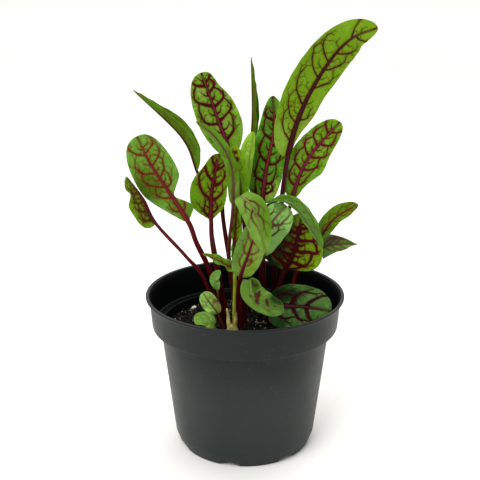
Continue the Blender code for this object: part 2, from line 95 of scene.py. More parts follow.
# The leaves, in mm
ROOT_LEVEL = 77.0
ROOT_SWELL = 1.25
RIB_TIP_RADIUS = 0.36
SPLINE_STEPS = 24
FOLD_EASE = 0.3
WAVE_OFFSET = 0.23
FLATTEST = 1e-4
SLOPE_STEP = 0.01
BLADE_STEP = 0.46  # spacing of the points on a blade
BLADE_THICKNESS = 0.46
EDGE_THICKNESS = 0.22
LEAST_HALF_WIDTH = 0.5
RIB_SINK = 0.12  # how far the blade's surface stands off the midrib's middle, in midrib radii
STALK_STEP = 0.9
STALK_SIDES = 16
STALK_SLOPE_STEP = 0.005
RIB_END = 0.97  # where the tube of the midrib ends, as a share of the blade's length
GROOVE_WIDTH = 0.55  # in radians
GROOVE_DEPTH = 0.3
RIDGES = 5
RIDGE_HEIGHT = 0.05
QUILT_HEIGHT = 0.5  # how far the field between the veins bulges
BLADE_VALUES = ("main", "fine", "pressed", "across", "open_share")
FARTHEST = 3.0  # how far outside a vein its edge is still measured
FAR_OFF = 9.0  # stands for a point with no vein near it
TWIG_PARTS = 4
TWIG_LIMIT = 0.92  # how near to the blade's edge a twig may come, as a share of the half width

# Half widths of the veins at both ends, in the leaf's own vein sizes
SIDE_VEIN = (0.92, 0.52)
VEIN_FOOT = (1.35, 0.8)
VEIN_LOOP = (0.52, 0.42)
VEIN_SPUR = (0.56, 0.32)

# The studio, in metres
CAMERA_PLACE = (0, -0.6034, 0.3445)
CAMERA_AIM = (-0.0035, 0, 0.1505)
LENS_LENGTH = 68.4
SENSOR_WIDTH = 36
WORLD_COLOUR = (1, 0.975, 0.9, 1)
WORLD_STRENGTH = 0.6
FLOOR_REACH = 12
LIGHTS = [
    # name, place, aim, size and power in watts
    ("key", (-0.55, -0.85, 1.2), (0, 0, 0.17), (0.9, 0.9), 17),
    ("overhead", (0.15, 0.25, 1.5), (0, 0, 0.1), (1.2, 1.2), 13),
    ("far_floor", (0, 4.4, 2.6), (0, 4.4, 0), (7, 6), 130),
]


def rgb(red, green, blue):
    """A colour given in screen values from 0 to 255."""
    values = [value / 255 for value in (red, green, blue)]
    linear = [((v + 0.055) / 1.055) ** 2.4 if v > 0.04 else v / 12.92 for v in values]
    return (*linear, 1.0)


DARK_VEIN = rgb(64, 3, 6)
RED_VEIN = rgb(98, 14, 16)
STALK_RED = rgb(74, 12, 18)
BRIGHT_STALK = rgb(84, 14, 20)
DEEP_STALK = rgb(80, 10, 18)
RED_MARK = rgb(92, 14, 20)
# the pale colour painted on the crests between the veins as the sheen of the overhead light
PAINTED_SHEEN_COLOUR = rgb(130, 168, 96)

# Where the side veins leave the midrib, on its left and on its right
TWO_VEINS = ((0.3, 0.6), (0.35, 0.65))
THREE_VEINS = ((0.2, 0.42, 0.66), (0.25, 0.5, 0.75))
FOUR_VEINS = ((0.15, 0.35, 0.55, 0.75), (0.2, 0.42, 0.62, 0.8))

# What a leaf has where its own row says nothing else
USUAL = dict(
    sides=(1, 1), bites=[], wave=(0.5, 2, 0), curl=(0, 0), zones=[], rib_marks=[], painted_sheen=0.3, gloss=0.06,
    slant=0.8, reach=0.62, loops=True, net=1.0, ink=1.0, band=1.0, colour=RED_VEIN, stalk_colour=STALK_RED,
)
PALE_LEAVES = (9, 13, 14, 15, 16, 22, 23, 24)
YELLOW_STALK = 26

# Each leaf as in the solid model, and then its looks.
# root, stalk, blade: the middle line up to the tip. rib: its radius where the blade begins. width, outline:
# the full width, and how fast it rises and falls. sides: the shares of it on the left and on the right.
# bites: side, place, depth and span of each dent. wave: height, number and start of the waves of the edge.
# facing: where the upper side looks, as azimuth and elevation from the blade's foot to its tip.
# fold, curl: how far each half is turned up, and bent on its way out, in degrees.
# top, back: colours of the side that looks the way of facing, and of the other one. painted_sheen: how much
# pale sheen is painted between the veins, standing for the reflection of the overhead light. zones: place
# along the midrib, place across (-1 to 1), their two reaches, the colour and its strength; besides the
# leaf's own
# marks they paint shade where part of a blade lies in shadow and sheen where it catches a reflection. veins:
# places along the midrib where the side veins of the left and right half start. vein: their width against a
# usual one. reach, slant: how far out and how far ahead they run.
# ink, colour: how strongly and in what colour they are drawn. midrib, stalk_colour: colours of those.
# rib_marks: place along the midrib, reach and colour of the spots on it.
LEAVES = [
    dict(  # 1: the tall leaf that leans right
        root=(19, 24), stalk=[(23, 10, 147)],
        blade=[(29, 6, 208), (39, 8, 242), (55, 8, 271), (69, 4, 287), (85, -4, 295)], width=32,
        outline=(0.38, 0.48), facing=[(0, 0), (0, 20), (5, 35)], fold=6, curl=(15, -10), sides=(1.08, 0.75),
        bites=[(1, 0.06, 0.7, 0.2), (1, 0.42, 0.14, 0.12), (1, 0.82, -0.22, 0.12)], wave=(1.0, 2.5, 0),
        rib=1.6, top=rgb(102, 140, 16), back=rgb(120, 154, 56), painted_sheen=0.05,
        zones=[
            (0.1, -0.6, 0.12, 0.5, rgb(128, 162, 56), 0.7), (0.22, 0.95, 0.1, 0.4, rgb(120, 151, 50), 0.7),
        ],
        veins=((0.1, 0.21, 0.33, 0.52, 0.63, 0.83), (0.24, 0.45, 0.58, 0.7, 0.86)), vein=0.66, reach=0.75,
        slant=1.2, loops=False, colour=DARK_VEIN, net=0.7, midrib=rgb(54, 6, 12),
        stalk_colour=rgb(70, 8, 14), band=1.2,
    ),
    dict(  # 2: the upright oval leaf at the left
        root=(-6, 19), stalk=[(-11, 6, 132), (-16, 10, 174)],
        blade=[(-11, 14, 206), (-20, 18, 235), (-30, 22, 263)], width=29, outline=(0.5, 0.42),
        facing=[(8, 10), (0, 20)], fold=12, bites=[(1, 0.85, 0.3, 0.16), (1, 0.3, -0.15, 0.2)],
        wave=(0.8, 2, 0.2), rib=1.4, top=rgb(104, 150, 28), back=rgb(138, 160, 69),
        zones=[
            (0.81, -0.3, 0.09, 0.3, rgb(142, 166, 71), 0.55),
            (0.71, 0.8, 0.12, 0.25, rgb(142, 166, 71), 0.5), (0.36, 0.15, 0.1, 0.4, rgb(142, 166, 71), 0.5),
            (0.5, -0.5, 0.08, 0.2, rgb(142, 166, 71), 0.4),
        ],
        veins=((0.18, 0.39, 0.61, 0.84), (0.2, 0.43, 0.59, 0.76, 0.88)), vein=1.3, reach=0.72, slant=0.65,
        colour=DARK_VEIN, midrib=rgb(104, 34, 44), band=1.3, stalk_colour=BRIGHT_STALK,
    ),
    dict(  # 3: the long leaf that leans far left
        root=(-12, 8), stalk=[(-24, -6, 128), (-33, -12, 152)],
        blade=[(-38, -16, 168), (-51, -19, 191), (-62, -22, 210), (-70, -22, 228)], width=28,
        outline=(0.8, 0.42), facing=[(-5, 25), (-10, 35)], fold=5,
        bites=[(1, 0.31, 0.85, 0.1), (1, 0.11, -0.7, 0.06), (-1, 0.45, -0.18, 0.2)], rib=1.7,
        top=rgb(91, 140, 40), back=rgb(95, 134, 47),
        zones=[
            # the first zone paints shade on the folded lower-left lobe, which catches none of the pale
            # reflection
            (0.54, -0.62, 0.17, 0.56, rgb(69, 103, 5), 0.97), (0.12, 0.1, 0.12, 0.9, rgb(73, 113, 11), 0.7),
        ],
        veins=((0.14, 0.3, 0.44, 0.6, 0.8), (0.12, 0.42, 0.54, 0.68, 0.82)), vein=0.85, slant=0.9,
        loops=False, ink=0.9, net=0.6, midrib=rgb(112, 30, 34), stalk_colour=rgb(98, 8, 12),
    ),
    dict(  # 4: the folded leaf below it
        root=(-15, 2), stalk=[(-28, -14, 126), (-40, -22, 146)],
        blade=[(-59, -28, 171), (-66, -31, 188), (-76, -34, 204)], width=22, outline=(0.32, 0.5),
        facing=[(-92, 10), (-80, 15)], fold=58, bites=[(-1, 0.72, 0.4, 0.1), (1, 0.72, 0.4, 0.1)], rib=1.2,
        top=rgb(98, 138, 26), back=rgb(98, 135, 18), painted_sheen=0.05,
        zones=[(0.33, -0.2, 0.3, 0.45, RED_MARK, 0.75)], veins=((0.08, 0.26, 0.46, 0.66),) * 2, vein=1.15,
        reach=0.6, slant=0.7, colour=DARK_VEIN, midrib=rgb(70, 8, 16), stalk_colour=rgb(100, 14, 18),
    ),
    dict(  # 5: the narrow folded leaf that points up to the left
        root=(-10, 14), stalk=[(-20, 4, 137), (-26, 2, 175)],
        blade=[(-33, 0, 200), (-42.5, -4, 224), (-73, -10, 256)], width=17, outline=(0.5, 1.0),
        facing=[(85, 35), (80, 40)], fold=60, rib=1.0, top=rgb(87, 122, 11), back=rgb(72, 117, 5),
        painted_sheen=0.05, zones=[(0.64, 0.62, 0.05, 0.3, rgb(55, 51, 3), 0.6)], veins=((0.15, 0.35, 0.55),) * 2,
        vein=0.6, reach=0.6, slant=1.4, ink=0.4, midrib=rgb(70, 30, 14), stalk_colour=rgb(76, 12, 18),
    ),
    dict(  # 6: the upright leaf in the middle of the left side
        root=(-9, 2), stalk=[(-21, -10, 141)], blade=[(-23, -11, 169), (-22, -10, 190), (-17, -6, 213)],
        width=26, outline=(0.42, 0.55), facing=[(0, 10), (-5, 20)], fold=8, sides=(1.15, 0.8),
        bites=[(-1, 0.8, 0.28, 0.2), (-1, 0.0, 0.45, 0.12), (1, 0.0, 0.45, 0.12)], rib=1.5,
        top=rgb(91, 133, 2), back=rgb(103, 136, 24), painted_sheen=0.04,
        zones=[(0.5, 0.5, 0.25, 0.4, rgb(112, 144, 6), 0.5)],
        veins=((0.05, 0.3, 0.58, 0.8), (0.08, 0.28, 0.52, 0.76)), vein=1.3, reach=0.68, slant=1.1,
        loops=False, colour=DARK_VEIN, midrib=rgb(84, 12, 22), stalk_colour=rgb(86, 12, 20), band=1.1,
    ),
    dict(  # 7: the narrow leaf in front of the oval one
        root=(-5, 8), stalk=[(-11, -3, 136)],
        blade=[(-8, -14, 180), (-9, -16, 207), (-19, -14, 225), (-32, -14, 236)], width=14,
        outline=(0.35, 0.6), facing=[(-12, 10), (-35, 40)], fold=6, sides=(0.6, 0.65), rib=1.2,
        top=rgb(83, 124, 26), back=rgb(79, 117, 34), painted_sheen=0.15,
        zones=[
            (0.84, -0.7, 0.2, 0.5, rgb(92, 124, 50), 0.7), (0.44, 0.75, 0.2, 0.6, rgb(67, 111, 8), 0.8),
            (0.16, 0.1, 0.14, 0.9, rgb(103, 124, 51), 0.8),
        ],
        veins=((0.1, 0.3, 0.5), (0.06, 0.2, 0.34, 0.5)), vein=0.5, reach=0.5, slant=1.3, loops=False,
        ink=0.4, net=0.3, midrib=rgb(88, 64, 40), stalk_colour=rgb(96, 40, 34), band=0.5,
    ),
    dict(  # 8: the short leaf in the middle
        root=(1, 13), stalk=[(-3, 4, 149)], blade=[(-2.5, 4, 180), (-5, 2, 199), (-9, -2, 217)], width=18,
        outline=(0.4, 0.35), facing=[(10, 10), (0, 25)], fold=10, sides=(0.88, 0.8), rib=1.0,
        top=rgb(113, 164, 26), back=rgb(157, 190, 73), painted_sheen=0.03,
        zones=[
            (0.94, 0, 0.2, 1.0, rgb(150, 186, 12), 0.75), (0.88, 0.1, 0.05, 0.5, rgb(92, 16, 4), 1.0),
            (0.74, 0.1, 0.06, 0.4, rgb(92, 16, 4), 1.0),
        ],
        veins=((0.2, 0.45, 0.7, 0.82), (0.25, 0.5, 0.72, 0.84)), vein=0.6, reach=0.4, loops=False, ink=0.3,
        net=0.2, midrib=rgb(84, 90, 24),
    ),
    dict(  # 9: the pale leaf behind it
        root=(4, 24), stalk=[(1, 14, 146)], blade=[(1, 14, 181), (3, 14, 204), (6, 14, 224)], width=15,
        outline=(0.5, 0.5), facing=[(-20, 10), (-20, 15)], fold=10, sides=(1, 0.4), rib=0.9,
        top=rgb(139, 187, 55), back=rgb(129, 178, 68), painted_sheen=0.1, veins=THREE_VEINS, vein=0.5, ink=0.2,
        midrib=rgb(124, 156, 60),
    ),
    dict(  # 10: the tall narrow leaf seen edge on
        root=(8, 30), stalk=[(2, 26, 151)], blade=[(3, 28, 197), (5, 28, 233), (4, 26, 273)], width=9,
        outline=(0.5, 0.8), facing=[(75, 10)], fold=55, rib=0.8, top=rgb(64, 114, 1), back=rgb(61, 110, 1),
        painted_sheen=0.03, veins=THREE_VEINS, vein=0.5, ink=0.5, midrib=rgb(70, 50, 18),
    ),
    dict(  # 11: the dark upright leaf beside the tall one
        root=(13, 26), stalk=[(11, 18, 145)],
        blade=[(12, 18, 172), (15, 20, 196), (20, 22, 224), (19, 24, 247)], width=26, outline=(0.4, 0.58),
        facing=[(-10, 5), (-15, 10)], fold=12, wave=(0.8, 2.5, 0.3), rib=1.5, top=rgb(79, 143, 22),
        back=rgb(124, 166, 56), painted_sheen=0.25,
        zones=[(0.13, 0.6, 0.12, 0.45, rgb(161, 200, 75), 0.85), (0.88, 0, 0.2, 0.9, rgb(81, 128, 45), 0.6)],
        veins=((0.03, 0.2, 0.39, 0.6, 0.78), (0.08, 0.18, 0.37, 0.55, 0.74)), vein=1.3, slant=0.7,
        colour=DARK_VEIN, midrib=rgb(118, 40, 48), band=1.2, stalk_colour=rgb(80, 12, 18),
    ),
    dict(  # 12: the right leaf below the tall one
        root=(25, 24), stalk=[(28, 14, 146)], blade=[(33, 12, 178), (43, 12, 205), (64, 8, 232)], width=26,
        outline=(0.42, 0.42), facing=[(5, 5), (10, 20)], fold=5, sides=(1, 0.8),
        bites=[(1, 0.42, -0.3, 0.2), (1, 0.1, 0.3, 0.15)], wave=(0.8, 2, 0.1), rib=1.3, top=rgb(97, 154, 12),
        back=rgb(111, 154, 49),
        zones=[
            (0.62, -0.6, 0.1, 0.28, rgb(125, 172, 56), 0.6),
            (0.69, 0.25, 0.08, 0.25, rgb(125, 172, 56), 0.6), (0.36, -0.5, 0.1, 0.3, rgb(125, 172, 56), 0.5),
        ],
        veins=((0.14, 0.32, 0.5, 0.64, 0.82), (0.15, 0.34, 0.5, 0.68, 0.85)), vein=1.1, reach=0.7,
        slant=0.75, colour=rgb(84, 12, 22), midrib=rgb(108, 36, 46), band=1.2, stalk_colour=BRIGHT_STALK,
    ),
    dict(  # 13: the tongue that arches over towards the front
        root=(1, 4), stalk=[(-1, -9, 165)], blade=[(-4.5, -22.5, 187), (6, -31, 181), (14, -38, 153)],
        width=18, outline=(0.4, 0.7), facing=[(0, 60), (0, 30), (0, 10)], fold=-4, curl=(-10, -20), rib=0.9,
        top=rgb(102, 139, 48), back=rgb(106, 139, 67), painted_sheen=0.12,
        zones=[
            (0.5, -0.6, 0.38, 0.5, rgb(78, 119, 16), 0.9), (0.14, 0.3, 0.14, 0.7, rgb(110, 142, 60), 0.6),
        ],
        veins=((0.2, 0.42), (0.16, 0.34)), vein=1.0, reach=0.42, slant=1.1, loops=False, ink=0.85,
        colour=rgb(76, 20, 30), net=0.1, midrib=rgb(110, 126, 54), band=0.3,
    ),
    dict(  # 14: the broad pale leaf beside the tongue
        root=(12, 17), stalk=[(11, 3, 117)], blade=[(13, -4, 140), (17, -8, 163), (28, -9, 178)], width=24,
        outline=(0.62, 0.38), facing=[(20, 10), (10, 30)], fold=5, sides=(0.8, 1.1), rib=1.1,
        top=rgb(145, 199, 103), back=rgb(122, 174, 74), painted_sheen=0.2,
        zones=[(0.94, -0.4, 0.12, 0.6, rgb(85, 130, 37), 0.85)], veins=((0.3, 0.55), (0.35, 0.6)), vein=1.5,
        reach=0.5, slant=1.1, loops=False, ink=0.8, colour=rgb(92, 26, 44), net=0.05,
        midrib=rgb(136, 96, 84),
    ),
    dict(  # 15: the leaf below the tongue
        root=(-4, -7), stalk=[(-5, -14, 112)], blade=[(-3, -18, 130), (3, -20, 149), (9, -20, 170)],
        width=20, outline=(0.35, 0.4), facing=[(0, 10), (0, 20)], fold=5, rib=1.3, top=rgb(121, 158, 63),
        back=rgb(112, 148, 66), painted_sheen=0.15,
        zones=[
            (0.5, -0.75, 0.4, 0.5, rgb(91, 128, 51), 0.9), (0.2, 0.6, 0.14, 0.4, rgb(112, 148, 32), 0.8),
            (0.33, 0.25, 0.05, 0.2, RED_MARK, 0.8), (0.62, 0.4, 0.14, 0.3, rgb(135, 116, 66), 0.5),
        ],
        veins=((0.15, 0.4, 0.65), (0.2, 0.42, 0.62)), vein=1.0, reach=0.5, slant=1.0, loops=False, ink=0.6,
        net=0.4, midrib=rgb(92, 18, 26), stalk_colour=DEEP_STALK,
    ),
    dict(  # 16: the curled leaf low at the front
        root=(-1, -10), stalk=[(-2, -20, 114)],
        blade=[(3, -28, 131), (5, -38, 125), (14, -42, 119), (26, -38, 114)], width=17, outline=(0.4, 0.45),
        facing=[(10, 30), (10, 40), (10, 40)], fold=12, rib=1.1, top=rgb(82, 117, 41), back=rgb(77, 103, 36),
        painted_sheen=0.15,
        zones=[
            # the first two zones are painted shade on the inner side of the curl; the red ones are the
            # leaf's own marks
            (0.17, -0.42, 0.17, 0.52, rgb(48, 72, 14), 0.97), (0.8, -0.74, 0.17, 0.4, rgb(26, 54, 13), 0.96),
            (0.1, -0.2, 0.09, 0.2, rgb(58, 8, 12), 0.9), (0.18, -0.5, 0.04, 0.3, rgb(40, 20, 10), 0.7),
            (0.35, 0.3, 0.03, 0.12, RED_MARK, 0.85), (0.37, -0.2, 0.035, 0.17, rgb(64, 8, 18), 0.95),
            (0.39, -0.5, 0.035, 0.18, rgb(60, 6, 16), 0.97), (0.42, -0.32, 0.05, 0.19, rgb(60, 6, 16), 0.97),
            (0.445, -0.1, 0.045, 0.19, rgb(64, 8, 18), 0.97),
            (0.47, 0.12, 0.045, 0.19, rgb(68, 10, 20), 0.97), (0.5, 0.34, 0.04, 0.17, rgb(74, 12, 25), 0.95),
            (0.61, -0.36, 0.03, 0.16, rgb(68, 10, 18), 0.95),
            (0.64, -0.2, 0.04, 0.16, rgb(68, 10, 18), 0.95), (0.67, 0.02, 0.03, 0.15, rgb(74, 12, 21), 0.9),
            (0.8, -0.1, 0.03, 0.12, rgb(88, 20, 29), 0.8), (0.7, 0.5, 0.03, 0.12, rgb(74, 12, 25), 0.7),
        ],
        veins=((0.3, 0.55), (0.35, 0.6)), vein=0.6, reach=0.3, slant=0.7, loops=False, ink=0.12,
        colour=rgb(80, 14, 24), net=0.05, midrib=rgb(86, 126, 44), stalk_colour=DEEP_STALK, band=0.2,
        rib_marks=[(0.44, 0.08, rgb(64, 8, 18)), (0.66, 0.045, rgb(74, 12, 21))],
    ),
    dict(  # 17: the broad leaf low at the right, over the soil
        root=(19, 9), stalk=[], blade=[(17, -5, 101), (38, -11, 105), (59, -22, 106)], width=38,
        outline=(0.38, 0.5), facing=[(10, 55), (20, 50)], fold=5, sides=(0.95, 1.1), rib=1.4,
        top=rgb(51, 85, 33), back=rgb(55, 78, 31), painted_sheen=0.25,
        zones=[
            # the darkest zones near the foot paint the shade that lies on this leaf under the others
            (0.12, 0.8, 0.24, 0.5, rgb(31, 58, 27), 0.85), (0.1, -0.4, 0.22, 0.75, rgb(6, 17, 5), 0.97),
            (0.34, -0.5, 0.14, 0.34, rgb(19, 44, 13), 0.9), (0.72, -0.58, 0.22, 0.42, rgb(75, 106, 50), 0.8),
            (0.5, 0.5, 0.13, 0.3, rgb(69, 94, 52), 0.75), (0.86, 0.4, 0.16, 0.4, rgb(56, 91, 29), 0.6),
            (0.3, 0.08, 0.14, 0.12, rgb(12, 4, 5), 0.85),
        ],
        veins=((0.1, 0.36, 0.6), (0.14, 0.4, 0.62)), vein=1.8, reach=0.66, slant=0.7, loops=False,
        colour=rgb(38, 7, 14), net=0.4, gloss=0.02, midrib=rgb(66, 14, 28), stalk_colour=DEEP_STALK,
        band=1.3,
    ),
    dict(  # 18: the broad-based leaf at the right
        root=(22, 17), stalk=[(22, 12, 103)], blade=[(28.5, 7, 125), (35, 3, 143), (39, -2, 171)], width=38,
        outline=(0.22, 0.6), facing=[(-24, 10), (5, 10)], fold=8, sides=(1.2, 1.15),
        bites=[(1, 0.0, 0.94, 0.21), (-1, 0.5, 0.25, 0.2)], rib=1.4, top=rgb(120, 160, 23),
        back=rgb(114, 160, 85), painted_sheen=0.05,
        zones=[
            # the first zone paints the left half dark as shade; the paler ones are patches within it
            (0.33, -0.75, 0.66, 0.72, rgb(34, 46, 28), 0.98),
            (0.12, -0.5, 0.06, 0.14, rgb(97, 126, 69), 0.6), (0.36, -0.3, 0.05, 0.1, rgb(97, 126, 64), 0.6),
            (0.28, -0.72, 0.06, 0.1, rgb(80, 111, 64), 0.6), (0.55, -0.4, 0.07, 0.2, rgb(77, 109, 36), 0.7),
        ],
        veins=((0.1, 0.28, 0.46, 0.68), (0.05, 0.2, 0.4, 0.57, 0.75)), vein=1.8, reach=0.76, slant=0.25,
        colour=rgb(76, 6, 12), midrib=rgb(70, 6, 14), stalk_colour=DEEP_STALK, band=1.5,
    ),
    dict(  # 19: the strap that arches over to the right
        root=(16, 10), stalk=[(13, 4, 150)],
        blade=[(14, 2, 172), (23, -4, 180), (33, -12, 179), (43, -18, 168), (52, -22, 152)], width=16,
        outline=(0.4, 0.5), facing=[(0, 80), (55, 32), (60, 22)], fold=10, rib=0.9, top=rgb(80, 128, 30),
        back=rgb(80, 126, 22), painted_sheen=0.2,
        zones=[(0.2, 0.0, 0.25, 0.9, rgb(67, 114, 6), 0.9), (0.6, 0.6, 0.4, 0.3, rgb(58, 99, 21), 0.6)],
        veins=FOUR_VEINS, vein=0.7, ink=0.5, colour=rgb(84, 50, 50), net=0.6, midrib=rgb(96, 130, 88),
        band=0.2,
    ),
    dict(  # 20: the leaf that points right
        root=(28, 19), stalk=[(39, 10, 131)], blade=[(52, 10, 148), (63, 8, 164), (78, 4, 175)], width=15,
        outline=(0.45, 0.5), facing=[(-20, 30), (-10, 40)], fold=10, sides=(1, 0.75), rib=1.0,
        top=rgb(79, 120, 9), back=rgb(77, 110, 25), painted_sheen=0.1,
        zones=[(0.16, -0.5, 0.2, 0.5, rgb(92, 120, 38), 0.8)], veins=FOUR_VEINS, vein=0.65, reach=0.5,
        slant=1.3, loops=False, ink=0.6, net=0.3, midrib=rgb(80, 16, 20), stalk_colour=rgb(136, 24, 30),
    ),
    dict(  # 21: the leaf below it
        root=(27, 29), stalk=[(40, 16, 123)], blade=[(53, 16, 138), (65, 12, 143), (79, 8, 145)], width=18,
        outline=(0.3, 1.1), facing=[(20, 50), (0, 50)], fold=15, sides=(1, 1.3), rib=0.9,
        top=rgb(80, 112, 25), back=rgb(66, 90, 25), painted_sheen=0.15,
        # the greyish zone on the left half is a painted sheen
        zones=[(0.31, -0.75, 0.4, 0.5, rgb(99, 93, 66), 0.9)],
        veins=((0.12, 0.28, 0.46), (0.15, 0.35, 0.55)), vein=0.7, reach=0.6, slant=1.2, loops=False,
        ink=0.65, colour=rgb(74, 34, 42), net=0.4, midrib=rgb(92, 56, 54),
    ),
    dict(  # 22: a seedling leaf at the left of the crown
        root=(-17, -3), stalk=[], blade=[(-19, -12, 118), (-21, -13, 126), (-17, -14, 133)], width=7,
        outline=(0.5, 0.5), facing=[(-20, 20)], fold=10, rib=0.8, top=rgb(117, 166, 72),
        back=rgb(119, 162, 74), painted_sheen=0.15, veins=TWO_VEINS, vein=0.45, ink=0.15, net=0.3,
        midrib=rgb(116, 156, 72), stalk_colour=rgb(96, 66, 40), band=0.2,
    ),
    dict(  # 23: a young leaf low at the left
        root=(-12, -5), stalk=[], blade=[(-19, -14, 101), (-24, -15, 109), (-29, -15, 117)], width=12,
        outline=(0.5, 0.4), facing=[(-20, 40)], fold=10, rib=0.8, top=rgb(156, 206, 102),
        back=rgb(146, 187, 83), painted_sheen=0.2,
        zones=[(0.3, 0.75, 0.42, 0.5, rgb(126, 56, 53), 0.7), (0.3, 0.1, 0.3, 0.3, rgb(120, 172, 48), 0.6)],
        veins=TWO_VEINS, vein=0.5, ink=0.3, net=0.3, midrib=rgb(112, 66, 44), stalk_colour=rgb(110, 60, 44),
        band=0.3,
    ),
    dict(  # 24: a young leaf just behind the front of the rim
        root=(-14, -11), stalk=[], blade=[(-21, -22, 94), (-27, -24, 100), (-35, -26, 101)], width=12,
        outline=(0.5, 0.4), facing=[(-10, 60), (-20, 50)], fold=10, rib=0.8, top=rgb(111, 153, 60),
        back=rgb(96, 138, 56), painted_sheen=0.15, veins=TWO_VEINS, vein=0.5, ink=0.15, net=0.3,
        midrib=rgb(132, 168, 84), stalk_colour=rgb(140, 140, 80), band=0.2,
    ),
    dict(  # 25: the small frilled leaf over the left stalks
        root=(-1, -4), stalk=[(-2, -11, 115)], blade=[(-4, -13, 129), (-16, -15, 139), (-29, -16, 146)],
        width=9, outline=(0.5, 0.8), facing=[(0, 65), (-10, 60)], fold=18, wave=(1.2, 3, 0), rib=0.8,
        top=rgb(92, 141, 33), back=rgb(104, 143, 60), painted_sheen=0.1,
        zones=[(0.31, 0.1, 0.1, 0.4, RED_MARK, 0.8), (0.52, 0.0, 0.07, 0.4, RED_MARK, 0.5)],
        veins=THREE_VEINS, vein=0.5, reach=0.6, loops=False, ink=0.5, net=0.4, midrib=rgb(88, 20, 24),
    ),
    dict(  # 26: the narrow yellow-green leaf in the middle
        root=(-8, -5), stalk=[(-7, -8, 124)], blade=[(-8, -7, 140), (-7, -6, 160), (-6, -5, 181)], width=9,
        outline=(0.3, 0.5), facing=[(35, 5)], fold=28, rib=1.2, top=rgb(111, 175, 5), back=rgb(107, 164, 17),
        painted_sheen=0.03, zones=[(0.5, 0.0, 0.5, 0.3, rgb(111, 38, 4), 0.7)], veins=THREE_VEINS, vein=0.6,
        reach=0.5, slant=1.3, loops=False, ink=0.8, midrib=rgb(116, 40, 24), stalk_colour=rgb(196, 214, 62),
    ),
]


# ---------------------------------------------------------------- shader helpers


def new_material(name):
    made = bpy.data.materials.new(name)
    made.use_nodes = True
    made.node_tree.nodes.clear()
    return made, made.node_tree


def add_node(tree, kind, inputs=None, **settings):
    """A node with its settings, whose inputs are given as values or as the sockets that feed them."""
    node = tree.nodes.new(kind)
    for setting, value in settings.items():
        setattr(node, setting, value)
    for socket, value in (inputs or {}).items():
        if isinstance(value, bpy.types.NodeSocket):
            tree.links.new(value, node.inputs[socket])
        else:
            node.inputs[socket].default_value = value
    return node


def mix(tree, factor, first, second, blend="MIX"):
    inputs = {0: factor, 6: first, 7: second}
    return add_node(tree, "ShaderNodeMix", inputs, data_type="RGBA", blend_type=blend).outputs[2]


def shaded(tree, factor, colour, grey):
    """The colour made darker or lighter by a grey, as far as the factor says."""
    return mix(tree, factor, colour, (grey, grey, grey, 1), "MULTIPLY")


def maths(tree, operation, first, second=0.0):
    return add_node(tree, "ShaderNodeMath", {0: first, 1: second}, operation=operation).outputs[0]


def times(tree, first, second):
    return maths(tree, "MULTIPLY", first, second)


def plus(tree, first, second):
    return maths(tree, "ADD", first, second)


def vector_maths(tree, operation, first, second):
    return add_node(tree, "ShaderNodeVectorMath", {0: first, 1: second}, operation=operation).outputs[0]


def step(tree, value, low, high, out_low=0.0, out_high=1.0):
    """A smooth step of value from low to high."""
    ends = {"Value": value, "From Min": low, "From Max": high, "To Min": out_low, "To Max": out_high}
    node = add_node(tree, "ShaderNodeMapRange", ends, interpolation_type="SMOOTHSTEP")
    return node.outputs["Result"]


def over(tree, colour, tone, *fade):
    """The colour with a tone laid over it, as far as a smooth step says."""
    return mix(tree, step(tree, *fade), colour, tone)


def grain(tree, vector, scale, detail=2.0, roughness=0.5):
    values = {"Vector": vector, "Scale": scale, "Detail": detail, "Roughness": roughness}
    return add_node(tree, "ShaderNodeTexNoise", values).outputs["Fac"]


def cell_edges(tree, vector, scale):
    """The distance to the nearest border between irregular cells."""
    inputs = {"Vector": vector, "Scale": scale}
    return add_node(tree, "ShaderNodeTexVoronoi", inputs, feature="DISTANCE_TO_EDGE").outputs["Distance"]


def object_place(tree):
    return add_node(tree, "ShaderNodeTexCoord").outputs["Object"]


def attribute(tree, name, output="Fac"):
    return add_node(tree, "ShaderNodeAttribute", attribute_name=name).outputs[output]


def surface(tree, colour, rough, gloss, height, bump_distance, bump_strength=1.0):
    """Ends a material in a Principled shader with a bump."""
    values = {"Height": height, "Distance": bump_distance, "Strength": bump_strength}
    bump = add_node(tree, "ShaderNodeBump", values)
    values = {"Base Color": colour, "Roughness": rough, "Specular IOR Level": gloss}
    shader = add_node(tree, "ShaderNodeBsdfPrincipled", {**values, "Normal": bump.outputs["Normal"]})
    add_node(tree, "ShaderNodeOutputMaterial", {"Surface": shader.outputs["BSDF"]})


# ---------------------------------------------------------------- mesh helpers


def link(name, mesh, materials=(), smooth=True):
    made = bpy.data.objects.new(name, mesh)
    bpy.context.scene.collection.objects.link(made)
    for each in materials:
        mesh.materials.append(each)
    if smooth:
        mesh.shade_smooth()
    return made


def mesh_from(name, points, faces):
    mesh = bpy.data.meshes.new(name)
    mesh.from_pydata(np.asarray(points).tolist(), [], faces)
    return mesh


def store(mesh, name, values):
    """Keeps one number, or one vector, for each point of a mesh."""
    values = np.asarray(values, np.float32)
    if values.ndim == 1:
        mesh.attributes.new(name, "FLOAT", "POINT").data.foreach_set("value", values)
    else:
        mesh.attributes.new(name, "FLOAT_VECTOR", "POINT").data.foreach_set("vector", values.ravel())


def ring_faces(rings, sides, start=0):
    """Faces of a tube made of rings of points."""
    faces = []
    for ring in range(rings - 1):
        for side in range(sides):
            a = start + ring * sides + side
            b = start + ring * sides + (side + 1) % sides
            faces.append((a, b, b + sides, a + sides))
    return faces


def closed_tube_faces(rings, sides):
    """Faces of a tube that ends in two more points, the middles of its first and last ring."""
    faces = ring_faces(rings, sides)
    first, last = rings * sides, rings * sides + 1
    top = (rings - 1) * sides
    for side in range(sides):
        following = (side + 1) % sides
        faces.append((first, following, side))
        faces.append((last, top + side, top + following))
    return faces


